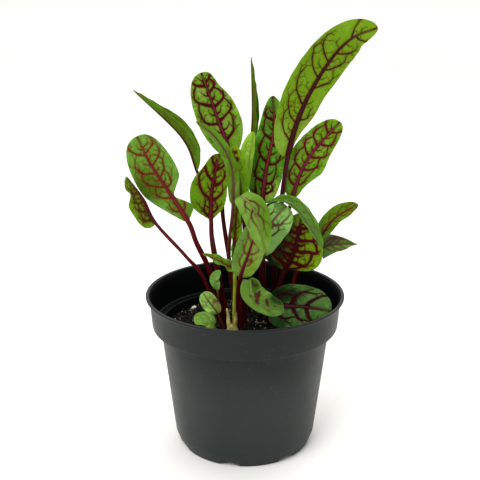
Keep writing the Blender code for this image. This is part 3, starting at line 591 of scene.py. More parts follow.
def ball(subdivisions):
    """The points and faces of a ball of radius 1."""
    shell = bmesh.new()
    bmesh.ops.create_icosphere(shell, subdivisions=subdivisions, radius=1)
    shell.verts.index_update()
    points = np.array([vertex.co for vertex in shell.verts])
    faces = np.array([[vertex.index for vertex in face.verts] for face in shell.faces])
    shell.free()
    return points, faces


def put(obj, slot, *nodes):
    """Hands a piece to the frame in place of its plain solids."""
    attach(obj, "root")
    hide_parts(*nodes)


# ---------------------------------------------------------------- leaf shapes


def smooth_path(points):
    """A Catmull-Rom curve through the points, with SPLINE_STEPS steps between each two."""
    knots = np.array(points, float)
    knots = np.vstack([2 * knots[0] - knots[1], knots, 2 * knots[-1] - knots[-2]])
    steps = np.linspace(0, 1, SPLINE_STEPS, endpoint=False)[:, None]
    spans = []
    for a, b, c, d in zip(knots, knots[1:], knots[2:], knots[3:]):
        square = (2 * a - 5 * b + 4 * c - d) * steps**2
        cube = (3 * b - a - 3 * c + d) * steps**3
        spans.append((2 * b + (c - a) * steps + square + cube) / 2)
    return np.vstack(spans + [knots[-2:-1]])


def length_of(path):
    return float(np.linalg.norm(np.diff(path, axis=0), axis=1).sum())


def along(path, shares):
    """Points at these shares of a path's length."""
    steps = np.linalg.norm(np.diff(path, axis=0), axis=1)
    lengths = np.concatenate([[0], np.cumsum(steps)])
    wanted = np.array(shares) * lengths[-1]
    return np.stack([np.interp(wanted, lengths, path[:, axis]) for axis in range(3)], 1)


def spine(leaf):
    """The stalk's path from the root to the blade, and the midrib's from there to the tip."""
    knots = [(*leaf["root"], ROOT_LEVEL)] + leaf["stalk"] + leaf["blade"]
    path = smooth_path(knots)
    base = (1 + len(leaf["stalk"])) * SPLINE_STEPS
    return path[: base + 1], path[base:]


def rib_radius(leaf, share):
    return leaf["rib"] + (RIB_TIP_RADIUS - leaf["rib"]) * share


def direction(azimuth, elevation):
    azimuth, elevation = math.radians(azimuth), math.radians(elevation)
    flat = math.cos(elevation)
    return (flat * math.sin(azimuth), -flat * math.cos(azimuth), math.sin(elevation))


def unit(vectors):
    return vectors / np.linalg.norm(vectors, axis=-1, keepdims=True)


def upper_along(leaf, forward, share):
    """The upper direction at shares of the midrib, square to the forward one."""
    looks = np.array([direction(*pair) for pair in leaf["facing"]])
    places = np.linspace(0, 1, len(looks))
    looks = np.stack([np.interp(share, places, looks[:, axis]) for axis in range(3)], 1)
    return unit(looks - (looks * forward).sum(1, keepdims=True) * forward)


def forward_along(path, share, reach):
    return unit(along(path, np.minimum(share + reach, 1)) - along(path, np.maximum(share - reach, 0)))


def half_widths(leaf, share):
    """Widths in mm of the left and right half at shares of the midrib."""
    rise, fall = leaf["outline"]
    widest = rise / (rise + fall)
    shape = share**rise * (1 - share) ** fall / (widest**rise * (1 - widest) ** fall)
    halves = {}
    for side, part in zip((-1, 1), leaf["sides"]):
        half = leaf["width"] / 2 * part * shape
        for where, place, depth, span in leaf["bites"]:
            if where == side:
                half = half * (1 - depth * np.exp(-(((share - place) / span) ** 2)))
        halves[side] = np.maximum(half, LEAST_HALF_WIDTH)
    return halves


def noise_at(points, scale, seed):
    """Smooth noise from about -1 to 1 at points in mm."""
    return np.array([noise.noise(Vector((x / scale, y / scale, seed))) for x, y in points])


def vein_run(height, out, ahead, parts=7):
    """A side vein from this height of the midrib, in mm outwards and ahead, that bends towards the tip."""
    share = np.linspace(0, 1, parts)
    outwards = out * (1 - (1 - share) ** 1.5)
    return np.stack([outwards, height + ahead * (0.45 * share + 0.55 * share**1.8)], 1)


def bent(start, end, bulge):
    """A short vein between two points that bulges to its right by a share of its length."""
    start, end = np.array(start), np.array(end)
    across = np.array([end[1] - start[1], start[0] - end[0]])
    middle = (start + end) / 2 + bulge * across
    return np.array([start, (start + 2 * middle + end) / 4, end])


def grow(lines, side, start, heading, length, width, forks, margin, rng):
    """Adds a curved twig in mm that forks so many times and stops short of the blade's edge."""
    points = [np.array(start)]
    turn = rng.uniform(0.0, 0.6)
    for _ in range(TWIG_PARTS):
        heading += turn / TWIG_PARTS
        following = points[-1] + length / TWIG_PARTS * np.array([math.cos(heading), math.sin(heading)])
        if not 0.8 < following[0] < TWIG_LIMIT * margin(following[1]):
            break
        points.append(following)
    if len(points) == 1:
        return
    lines.append((side, np.array(points), width, 0.6 * width, forks > 1))
    if forks:
        for way in (-1, 1):
            shorter = length * rng.uniform(0.45, 0.8)
            angle = heading + way * rng.uniform(0.35, 0.8)
            grow(lines, side, points[-1], angle, shorter, 0.62 * width, forks - 1, margin, rng)


def vein_lines(leaf, length):
    """The veins of both halves: side, points in mm, both half widths, and whether it is a main one."""
    lines = []
    netted = leaf["net"] > 0.4
    shares = np.linspace(0.001, 0.999, 200)
    halves = half_widths(leaf, shares)
    rng = np.random.default_rng(int(leaf["width"] * 100 + length))
    for side, starts in zip((-1, 1), leaf["veins"]):

        def margin(height):
            return float(np.interp(height / length, shares, halves[side]))

        def vein(points, widths):
            lines.append((side, points, widths[0] * leaf["vein"], widths[1] * leaf["vein"], True))

        def twig(start, heading, reach, width, forks=1):
            grow(lines, side, start, heading, reach, width * leaf["vein"], forks, margin, rng)

        runs = []
        for start in starts:
            height = start * length
            out = margin(height + 2) * leaf["reach"] * rng.uniform(0.88, 1.1)
            ahead = min(out * leaf["slant"] * rng.uniform(0.75, 1.3), 0.94 * length - height)
            runs.append(vein_run(height, out, ahead))
        for index, run in enumerate(runs):
            vein(run, SIDE_VEIN)
            vein(run[:2], VEIN_FOOT)
            end = run[-1]
            heading = math.atan2(*(run[-1] - run[-2])[::-1])
            left = margin(end[1]) - end[0]
            if leaf["loops"] and index + 1 < len(runs):
                goal = runs[index + 1][4] + rng.uniform(-0.4, 0.4, 2)
                vein(bent(end, goal, rng.uniform(0.04, 0.16)), VEIN_LOOP)
                twig(end, heading - 0.3, 0.8 * left, 0.44)
            else:
                twig(end, heading + 0.35, 0.9 * left + 1.2, 0.5, 2)
                twig(end, heading - 0.55, 0.7 * left + 0.8, 0.44)
            if netted and end[0] > 4:
                for place, way in ((2, 1), (4, -1), (5, 1)):
                    angle = heading + way * rng.uniform(0.7, 1.1)
                    twig(run[place], angle, end[0] * rng.uniform(0.18, 0.4), 0.38)
            following = starts[index + 1] if index + 1 < len(starts) else starts[index] + 0.12
            height = (starts[index] + following) / 2 * length
            if netted and height < 0.9 * length:
                spur = vein_run(height, margin(height) * rng.uniform(0.2, 0.34), 1.8, 3)
                vein(spur, VEIN_SPUR)
                twig(spur[-1], heading - 0.2, 2.2, 0.3)
    return lines


def inside_by(points, line, first, last):
    """How far in mm each point lies inside a vein's edge, negative outside it, and off its middle."""
    best = np.full(len(points), -FAR_OFF)
    nearest = np.full(len(points), FAR_OFF)
    parts = len(line) - 1
    for index in range(parts):
        a, b = line[index], line[index + 1]
        along_it = np.clip(((points - a) @ (b - a)) / max((b - a) @ (b - a), 1e-9), 0, 1)
        away = np.linalg.norm(points - a - along_it[:, None] * (b - a), axis=1)
        width = first + (last - first) * (index + along_it) / parts
        best = np.maximum(best, width - away)
        nearest = np.minimum(nearest, away)
    return best, nearest


def veins_at(leaf, share, flat, length):
    """How far inside main and fine veins each point of a blade lies, and how deep it is pressed in."""
    main = rib_radius(leaf, share) * leaf["band"] + 0.15 - np.abs(flat[:, 0])
    fine = np.full(len(flat), -FAR_OFF)
    depth = np.exp(-((flat[:, 0] / (0.9 + leaf["rib"] / 2)) ** 2))
    warp = np.stack([noise_at(flat, 7, 3), noise_at(flat, 7, 9)], 1)
    warp += 0.3 * np.stack([noise_at(flat, 2.2, 5), noise_at(flat, 2.2, 8)], 1)
    moved = flat + warp * np.minimum(np.abs(flat[:, :1]) / 3, 1)
    for side, line, first, last, is_main in vein_lines(leaf, length):
        line = line * (side, 1)
        low, high = line.min(0) - FARTHEST, line.max(0) + FARTHEST
        close = ((moved > low) & (moved < high)).all(1)
        if not close.any():
            continue
        inside, nearest = inside_by(moved[close], line, first, last)
        kind = main if is_main else fine
        kind[close] = np.maximum(kind[close], inside)
        weight = 1.0 if is_main else 0.5
        depth[close] = np.maximum(depth[close], weight * np.exp(-((nearest / 1.1) ** 2)))
    return main, fine, depth


def field_colours(leaf, base, share, across):
    """The colour of each point of one side with its zones, which lay the leaf's own marks and painted shade
    and sheen over it, and how little of it a zone covers.
    """
    colours = np.tile(np.array(base[:3]), (len(share), 1))
    open_share = np.ones(len(share))
    for place, side, tall, wide, colour, strength in leaf["zones"]:
        far = ((share - place) / tall) ** 2 + ((across - side) / wide) ** 2
        weight = strength * np.exp(-(far**2.5))[:, None]
        colours = colours * (1 - weight) + np.array(colour[:3]) * weight
        open_share *= 1 - weight[:, 0]
    return colours, open_share


def blade_points(leaf):
    """The middle surface of a blade in mm, where each point lies on it, and the blade's length."""
    midrib = spine(leaf)[1]
    length = length_of(midrib)
    rows = int(length / BLADE_STEP)
    columns = max(6, int(leaf["width"] / 2 / BLADE_STEP))
    share = 0.002 + 0.997 * (1 - np.cos(np.pi * np.linspace(0, 1, rows + 1))) / 2
    forward = forward_along(midrib, share, SLOPE_STEP)
    normal = upper_along(leaf, forward, share)
    right = np.cross(forward, normal)
    centre = along(midrib, share) + normal * (RIB_SINK * rib_radius(leaf, share))[:, None]
    halves = half_widths(leaf, share)
    fold = math.radians(leaf["fold"]) * np.sin(np.pi * share) ** FOLD_EASE
    height, count, phase = leaf["wave"]
    across = np.linspace(-1, 1, 2 * columns + 1)
    grid = np.empty((rows + 1, 2 * columns + 1, 3))
    flat = np.empty((rows + 1, 2 * columns + 1, 2))
    lift = np.empty((rows + 1, 2 * columns + 1))
    for column, place in enumerate(across):
        side = -1 if place < 0 else 1
        out = abs(place)
        bend = math.radians(leaf["curl"][side > 0]) or FLATTEST
        half = halves[side]
        sideways = half * (np.sin(fold + bend * out) - np.sin(fold)) / bend
        up = half * (np.cos(fold) - np.cos(fold + bend * out)) / bend
        turns = count * share + phase + WAVE_OFFSET * side
        up = up + height * out * out * np.sin(2 * np.pi * turns) * np.sin(np.pi * share)
        grid[:, column] = centre + side * sideways[:, None] * right
        lift[:, column] = up
        flat[:, column, 0] = place * half
        flat[:, column, 1] = share * length
    grid += lift[:, :, None] * normal[:, None, :]
    share_of = np.repeat(share, 2 * columns + 1)
    across_of = np.tile(across, rows + 1)
    return grid, share_of, across_of, flat.reshape(-1, 2), length


def surface_normals(grid):
    down = np.gradient(grid, axis=0)
    sideways = np.gradient(grid, axis=1)
    return unit(np.cross(sideways, down))


def make_blade(number, leaf):
    grid, share, across, flat, length = blade_points(leaf)
    rows, columns = grid.shape[:2]
    main, fine, depth = veins_at(leaf, share, flat, length)
    small = noise_at(flat, 3.2, number) * 0.16 + noise_at(flat, 9, number + 40) * 0.4
    margin = 0.35 * np.sin(flat[:, 1] / 1.7 + 2 * noise_at(flat, 8, number + 7)) * np.abs(across) ** 5
    pressed = (QUILT_HEIGHT * (1 - depth) + small) * np.minimum(np.abs(flat[:, 0]) / 1.6, 1) + margin
    ends = np.clip(np.sin(np.pi * share) * 4, 0, 1)
    normals = surface_normals(grid)
    grid = grid + normals * (pressed * ends).reshape(rows, columns)[:, :, None]
    normals = surface_normals(grid)
    thick = EDGE_THICKNESS + (BLADE_THICKNESS - EDGE_THICKNESS) * (1 - np.abs(across) ** 3)
    thick = thick.reshape(rows, columns)[:, :, None]
    upper = (grid + normals * thick / 2).reshape(-1, 3)
    lower = (grid - normals * thick / 2).reshape(-1, 3)
    count = rows * columns
    index = np.arange(count).reshape(rows, columns)
    a, b, c, d = (part.ravel() for part in (index[:-1, :-1], index[:-1, 1:], index[1:, 1:], index[1:, :-1]))
    faces = np.stack([a, b, c, d], 1).tolist() + (np.stack([d, c, b, a], 1) + count).tolist()
    edge = np.concatenate([index[0], index[1:, -1], index[-1, -2::-1], index[-2:0:-1, 0]])
    after = np.roll(edge, -1)
    faces += np.stack([edge, edge + count, after + count, after], 1).tolist()
    name = f"leaf_{number:02d}_blade"
    mesh = mesh_from(name, np.vstack([upper, lower]) * MM, faces)
    top, open_share = field_colours(leaf, leaf["top"], share, across)
    back = field_colours(leaf, leaf["back"], share, across)[0]
    main, fine = np.clip((main, fine), -FARTHEST, FARTHEST)
    for kind, values in zip(BLADE_VALUES, (main, fine, depth, np.abs(across), open_share)):
        store(mesh, kind, np.tile(values, 2))
    store(mesh, "upper", np.repeat([1.0, 0.0], count))
    store(mesh, "field", np.vstack([top, back]))
    seeded = np.column_stack([flat, np.full(count, 13.0 * number)])
    store(mesh, "flat", np.tile(seeded, (2, 1)))
    blade = link(name, mesh, [leaf_material(name, leaf)])
    put(blade, "leaf_pale" if number in PALE_LEAVES else "leaf_green", name)


def make_stalk(number, leaf):
    stalk, midrib = spine(leaf)
    stalk_length, rib_length = length_of(stalk), length_of(midrib)
    stalk_shares = np.linspace(0, 1, int(stalk_length / STALK_STEP))[:-1]
    rib_shares = np.linspace(0, RIB_END, int(rib_length / STALK_STEP))
    path = np.vstack([stalk, midrib[1:]])
    total = stalk_length + rib_length
    shares = np.concatenate([stalk_shares * stalk_length, stalk_length + rib_shares * rib_length]) / total
    points = along(path, shares)
    progress = np.concatenate([stalk_shares - 1, rib_shares])
    forward = forward_along(path, shares, STALK_SLOPE_STEP)
    normal = upper_along(leaf, forward, progress)
    right = np.cross(forward, normal)
    swell = ROOT_SWELL + (1 - ROOT_SWELL) * stalk_shares
    radius = np.concatenate([leaf["rib"] * swell, rib_radius(leaf, rib_shares)])
    radius = radius * (1 + 0.03 * np.sin(shares * total / 4.1 + number))
    angle = np.linspace(0, 2 * np.pi, STALK_SIDES, endpoint=False)
    off_top = (angle + np.pi) % (2 * np.pi) - np.pi
    groove = np.clip(-progress * 6, 0, 1)[:, None] * np.exp(-((off_top / GROOVE_WIDTH) ** 2))
    ridges = RIDGE_HEIGHT * np.cos(RIDGES * angle) * np.clip(1 - progress, 0, 1)[:, None]
    size = radius[:, None] * (1 - GROOVE_DEPTH * groove + ridges)
    up, over_right = (np.cos(angle) * size)[:, :, None], (np.sin(angle) * size)[:, :, None]
    rings = points[:, None] + up * normal[:, None] + over_right * right[:, None]
    count = len(points)
    ends = np.stack([points[0], points[-1] + forward[-1] * radius[-1]])
    name = f"leaf_{number:02d}_stalk"
    vertices = np.vstack([rings.reshape(-1, 3), ends]) * MM
    mesh = mesh_from(name, vertices, closed_tube_faces(count, STALK_SIDES))
    store(mesh, "progress", np.append(np.repeat(progress, STALK_SIDES), [-1.0, 1.0]))
    round_it = np.tile(angle, count) * 1.2
    down_it = np.repeat(shares * total, STALK_SIDES)
    flat = np.column_stack([round_it, down_it, np.full(len(round_it), 7.0 * number)])
    store(mesh, "flat", np.vstack([flat, flat[:1], flat[-1:]]))
    stalk_piece = link(name, mesh, [stalk_material(name, leaf)])
    put(stalk_piece, "stalk_yellow" if number == YELLOW_STALK else "stalk_red", name)


# ---------------------------------------------------------------- leaf materials


def scaled(colour, factor):
    return (*(min(1.0, part * factor) for part in colour[:3]), 1.0)


def leaf_material(name, leaf):
    made, tree = new_material(name)
    red, ink = leaf["colour"], leaf["ink"]
    net = leaf["net"] * ink
    flat = attribute(tree, "flat", "Vector")
    base = attribute(tree, "field", "Vector")
    upper = attribute(tree, "upper")
    main, fine_vein, pressed, across, open_share = (attribute(tree, kind) for kind in BLADE_VALUES)
    broad = grain(tree, flat, 0.13, 2)
    soft = grain(tree, flat, 0.22, 1)
    middle = grain(tree, flat, 0.45, 3)
    fine = grain(tree, flat, 2.4, 3)
    warp = add_node(tree, "ShaderNodeTexNoise", {"Vector": flat, "Scale": 0.4, "Detail": 2.0})
    warp = vector_maths(tree, "MULTIPLY", warp.outputs["Color"], (1.8, 1.8, 0))
    warped = vector_maths(tree, "ADD", flat, warp)
    cells = cell_edges(tree, warped, 0.42)
    small_cells = cell_edges(tree, warped, 1.3)

    # the green field: broad darker patches at random, a pale sheen painted on the crests for the reflection
    # of the overhead light, painted shade in the hollows and a fine pale mesh
    field = shaded(tree, step(tree, broad, 0.3, 0.7, 0.0, 0.2), base, 0.6)
    crest = times(tree, step(tree, pressed, 0.02, 0.45, 1.0, 0.0), open_share)
    painted_sheen = times(tree, crest, step(tree, soft, 0.4, 0.65, 0.0, leaf["painted_sheen"]))
    field = mix(tree, painted_sheen, field, PAINTED_SHEEN_COLOUR)
    # painted shade: the field is darker in the hollows pressed in beside the veins
    field = shaded(tree, step(tree, pressed, 0.2, 0.9, 0.0, 0.3), field, 0.62)
    field = shaded(tree, step(tree, small_cells, 0.0, 0.14, 0.12, 0.0), field, 1.35)

    # the veins: the finest net, a wash and a halo beside the main ones, the fine ones and the main ones
    blush = mix(tree, 0.55, red, shaded(tree, 1.0, base, 0.7))
    veinlet = step(tree, cells, 0.01, 0.085, 0.7 * net, 0.0)
    field = mix(tree, times(tree, veinlet, step(tree, middle, 0.38, 0.58)), field, blush)
    field = over(tree, field, blush, main, -2.8, -0.2, 0.0, 0.45 * net)
    colour = over(tree, field, blush, main, -0.95, 0.1, 0.0, 0.6 * ink)
    colour = over(tree, colour, red, fine_vein, -0.4, 0.1, 0.0, 0.7 * ink)
    ragged = plus(tree, main, times(tree, maths(tree, "SUBTRACT", fine, 0.5), 0.3))
    core = times(tree, step(tree, ragged, -0.2, 0.14, 0.0, ink), step(tree, upper, 0.0, 1.0, 0.7, 1.0))
    colour = mix(tree, core, colour, red)
    colour = shaded(tree, step(tree, across, 0.94, 1.0, 0.0, 0.25), colour, 1.3)

    rough = step(tree, fine, 0.2, 0.8, 0.42, 0.56)
    height = plus(tree, times(tree, fine, 0.5), step(tree, small_cells, 0.0, 0.3, 0.0, 0.7))
    surface(tree, colour, rough, leaf["gloss"], height, 0.0002)
    return made


def stalk_material(name, leaf):
    """Dark streaks on the stalk, paler ones on the midrib, which turns green towards the tip."""
    made, tree = new_material(name)
    base, rib_tone = leaf["stalk_colour"], leaf["midrib"]
    flat = attribute(tree, "flat", "Vector")
    progress = attribute(tree, "progress")
    streak = grain(tree, vector_maths(tree, "MULTIPLY", flat, (1.0, 0.06, 1.0)), 1.6, 3)
    patch = grain(tree, flat, 0.12, 2)
    fine = grain(tree, flat, 3.0, 2)
    lower = over(tree, scaled(base, 0.35), scaled(base, 0.95), streak, 0.35, 0.65)
    lower = over(tree, lower, scaled(base, 0.5), patch, 0.45, 0.7, 0.0, 0.5)
    rib = over(tree, scaled(rib_tone, 0.6), scaled(rib_tone, 0.95), streak, 0.35, 0.65)
    colour = over(tree, lower, rib, progress, -0.1, 0.12)
    tip = mix(tree, 0.6, leaf["colour"], leaf["top"])
    colour = over(tree, colour, tip, progress, 0.75, 1.0, 0.0, 0.45)
    for place, reach, tone in leaf["rib_marks"]:
        away = maths(tree, "ABSOLUTE", maths(tree, "SUBTRACT", progress, place))
        colour = over(tree, colour, tone, away, reach * 0.6, reach, 0.9, 0.0)
    rough = step(tree, fine, 0.2, 0.8, 0.3, 0.46)
    surface(tree, colour, rough, 0.12, plus(tree, streak, fine), 0.00012)
    return made


# ---------------------------------------------------------------- the pot


def pot_profile():
    """Radius and height of each corner, from the floor's upper middle over the rim to its lower middle."""
    lip = POT_HEIGHT - RIM_THICKNESS
    step_top = LEDGE + WALL_THICKNESS
    foot_in, wall_in = WALL_FOOT_RADIUS - WALL_THICKNESS, WALL_TOP_RADIUS - WALL_THICKNESS
    collar_in, mouth = COLLAR_FOOT_RADIUS - WALL_THICKNESS, COLLAR_TOP_RADIUS - WALL_THICKNESS
    return [
        # the floor and the inside of the wall
        (0, FLOOR_THICKNESS),
        (FOOT_RADIUS - 2.4, FLOOR_THICKNESS),
        (FOOT_RADIUS - 0.9, FLOOR_THICKNESS + 0.4),
        (foot_in - 0.5, FOOT_CHAMFER_HEIGHT - 1.0),
        (foot_in, FOOT_CHAMFER_HEIGHT + 0.6),
        # the step under the collar and the inside of the collar
        (wall_in, step_top - 0.5),
        (wall_in + 0.2, step_top - 0.1),
        (wall_in + 0.6, step_top),
        (collar_in - 0.6, step_top + 0.2),
        (collar_in - 0.1, step_top + 0.5),
        (collar_in, step_top + 1.0),
        # the rim
        (mouth, lip - 1.4),
        (mouth + 0.5, lip - 0.4),
        (COLLAR_TOP_RADIUS + 0.1, POT_HEIGHT - 0.5),
        (COLLAR_TOP_RADIUS + 0.7, POT_HEIGHT - 0.05),
        (COLLAR_TOP_RADIUS + 1.2, POT_HEIGHT),
        (RIM_RADIUS - 0.8, POT_HEIGHT),
        (RIM_RADIUS - 0.25, POT_HEIGHT - 0.15),
        (RIM_RADIUS, POT_HEIGHT - 0.6),
        (RIM_RADIUS - 0.05, lip + 0.5),
        (RIM_RADIUS - 0.4, lip + 0.05),
        (RIM_RADIUS - 0.9, lip),
        (COLLAR_TOP_RADIUS + 0.8, lip - 0.15),
        (COLLAR_TOP_RADIUS + 0.2, lip - 0.5),
        # the outside of the collar and its ledge
        (COLLAR_TOP_RADIUS, lip - 1.2),
        (COLLAR_FOOT_RADIUS + 0.1, LEDGE + 1.8),
        (COLLAR_FOOT_RADIUS - 0.05, LEDGE + 0.8),
        (COLLAR_FOOT_RADIUS - 0.3, LEDGE + 0.25),
        (COLLAR_FOOT_RADIUS - 0.9, LEDGE),
        # the outside of the wall and the foot
        (WALL_TOP_RADIUS + 0.6, LEDGE - 0.1),
        (WALL_TOP_RADIUS + 0.15, LEDGE - 0.3),
        (WALL_TOP_RADIUS, LEDGE - 0.9),
        (WALL_FOOT_RADIUS + 0.1, FOOT_CHAMFER_HEIGHT + 0.8),
        (WALL_FOOT_RADIUS - 0.15, FOOT_CHAMFER_HEIGHT - 0.5),
        (FOOT_RADIUS + 0.9, 1.8),
        (FOOT_RADIUS + 0.5, 0.7),
        (FOOT_RADIUS, 0.15),
        (FOOT_RADIUS - 0.6, 0),
        (0, 0),
    ]


def finer(profile, longest):
    """The profile with its long runs divided."""
    points = [profile[0]]
    for start, end in zip(profile, profile[1:]):
        parts = max(1, math.ceil(math.dist(start, end) / longest))
        for part in range(1, parts + 1):
            share = part / parts
            points.append(tuple(a + (b - a) * share for a, b in zip(start, end)))
    return points


def lathe(profile, steps):
    """A closed turned body, whose profile runs down the outer side and ends on the axis at both ends."""
    inner = profile[1:-1]
    angle = np.linspace(0, 2 * np.pi, steps, endpoint=False)
    rings = [
        np.column_stack([radius * np.cos(angle), radius * np.sin(angle), np.full(steps, height)])
        for radius, height in inner
    ]
    points = np.vstack(rings + [(0, 0, profile[0][1]), (0, 0, profile[-1][1])])
    return points, [face[::-1] for face in closed_tube_faces(len(inner), steps)]


def drain_cutter(index):
    turn = math.radians(DRAIN_TURN + index * 360 / DRAIN_COUNT)
    outward = Vector((math.sin(turn), -math.cos(turn), 0))
    arch = bmesh.new()
    bmesh.ops.create_cone(
        arch, cap_ends=True, segments=DRAIN_SIDES, radius1=DRAIN_ARCH_RADIUS * MM,
        radius2=DRAIN_ARCH_RADIUS * MM, depth=DRAIN_LENGTH * MM,
    )
    mesh = bpy.data.meshes.new(f"drain_{index}")
    arch.to_mesh(mesh)
    arch.free()
    middle = outward * (FOOT_RADIUS - DRAIN_REACH + DRAIN_LENGTH / 2)
    middle.z = DRAIN_HEIGHT - DRAIN_ARCH_RADIUS
    mesh.transform(Matrix.Translation(middle * MM) @ outward.to_track_quat("Z", "Y").to_matrix().to_4x4())
    return mesh


def make_pot():
    points, faces = lathe(finer(pot_profile(), POT_RUN), POT_STEPS)
    pot = link("pot_dressed", mesh_from("pot_dressed", points * MM, faces), smooth=False)
    for index in range(DRAIN_COUNT):
        cutter = link(f"drain_{index}", drain_cutter(index), smooth=False)
        boolean = pot.modifiers.new("drain", "BOOLEAN")
        boolean.object = cutter
        boolean.solver = "EXACT"
        graph = bpy.context.evaluated_depsgraph_get()
        mesh = bpy.data.meshes.new_from_object(pot.evaluated_get(graph))
        pot.modifiers.clear()
        pot.data = mesh
        bpy.data.objects.remove(cutter)
    pot.data.materials.clear()
    pot.data.materials.append(pot_material("pot_plastic", 1.0, 0.2))
    # the inside of the pot, its colours scaled to 0.2 as painted shade
    pot.data.materials.append(pot_material("pot_inside", 0.2, 0.04))
    heights = [0, FOOT_CHAMFER_HEIGHT, LEDGE - 0.1, LEDGE, POT_HEIGHT]
    radii = [FOOT_RADIUS, WALL_FOOT_RADIUS, WALL_TOP_RADIUS, COLLAR_FOOT_RADIUS, COLLAR_TOP_RADIUS]
    # the two edges of the inner step keep the outer colours as painted highlights
    lit_step_edges = [WALL_TOP_RADIUS - WALL_THICKNESS + 0.4, COLLAR_FOOT_RADIUS - WALL_THICKNESS - 0.35]
    for face in pot.data.polygons:
        x, y, z = face.center / MM
        radius = math.hypot(x, y)
        inside = radius < np.interp(z, heights, radii) - WALL_THICKNESS / 2
        inside = inside or z > POT_HEIGHT - RIM_THICKNESS - 1 and radius < COLLAR_TOP_RADIUS
        beside = min(abs(radius - each) for each in lit_step_edges) < LIT_EDGE_WIDTH
        on_edge = z > LEDGE and beside and face.normal.z > 0.3
        face.material_index = 1 if inside and not on_edge else 0
    pot.data.set_sharp_from_angle(angle=math.radians(SHARP_ANGLE))
    put(pot, "pot", "pot")


def pot_material(name, light, gloss):
    """Black plastic with painted light and shade: lighter greys below for the light the floor throws back
    and darker ones from the upper wall up, its colours scaled by light, a factor that paints the shade
    inside the pot.
    """
    made, tree = new_material(name)
    place = object_place(tree)
    broad = grain(tree, place, 22, 3)
    streak = grain(tree, vector_maths(tree, "MULTIPLY", place, (1, 1, 0.12)), 160, 4, 0.6)
    fine = grain(tree, place, 1500, 3)
    pitted = grain(tree, place, 520, 2)
    speck = add_node(tree, "ShaderNodeTexVoronoi", {"Vector": place, "Scale": 260.0}).outputs["Distance"]
    dust = grain(tree, place, 60, 5, 0.65)
    up = add_node(tree, "ShaderNodeSeparateXYZ", {"Vector": place}).outputs["Z"]

    # painted light and shade: the lower greys stand for the floor's bounce light, the upper ones for the
    # shade on and under the collar
    low = over(tree, rgb(32, 38, 37), rgb(38, 43, 42), broad, 0.35, 0.65)
    high = over(tree, rgb(17, 22, 22), rgb(23, 28, 28), broad, 0.35, 0.65)
    colour = over(tree, low, high, up, 0.045, 0.085)
    colour = over(tree, colour, rgb(46, 47, 43), streak, 0.58, 0.8, 0.0, 0.3)
    colour = over(tree, colour, rgb(84, 80, 70), dust, 0.6, 0.8, 0.0, 0.2)
    colour = over(tree, colour, rgb(112, 108, 96), speck, 0.05, 0.09, 0.35, 0.0)
    # painted shade: the factor light darkens the colours of the inside of the pot
    colour = shaded(tree, 1.0, colour, light)
    rough = plus(tree, step(tree, broad, 0.3, 0.7, 0.4, 0.5), step(tree, dust, 0.5, 0.8, 0.0, 0.12))
    surface(tree, colour, rough, gloss, plus(tree, times(tree, fine, 0.35), pitted), 0.00006)
    return made


# ---------------------------------------------------------------- the soil


def soil_height(x, y):
    """How far the crumbs and the mounds round the crowns lift the soil, in mm."""
    lift = CRUMB_HEIGHT * noise.noise(Vector((x, y, 0)) / CRUMB_SIZE)
    lift += CRUMB_HEIGHT / 2 * noise.noise(Vector((x, y, 40)) / CRUMB_SIZE * 2.3)
    for crown_x, crown_y in CROWNS:
        away = math.hypot(x - crown_x, y - crown_y) / MOUND_SPREAD
        lift += MOUND_HEIGHT * math.exp(-away * away)
    return lift


def soil_edge():
    """The soil's radius at its top, where it lies against the pot's wall."""
    slope = (WALL_TOP_RADIUS - WALL_FOOT_RADIUS) / (LEDGE - FOOT_CHAMFER_HEIGHT)
    wall = WALL_FOOT_RADIUS + slope * (SOIL_LEVEL - 1.5 - FOOT_CHAMFER_HEIGHT)
    return wall - WALL_THICKNESS - SOIL_GAP


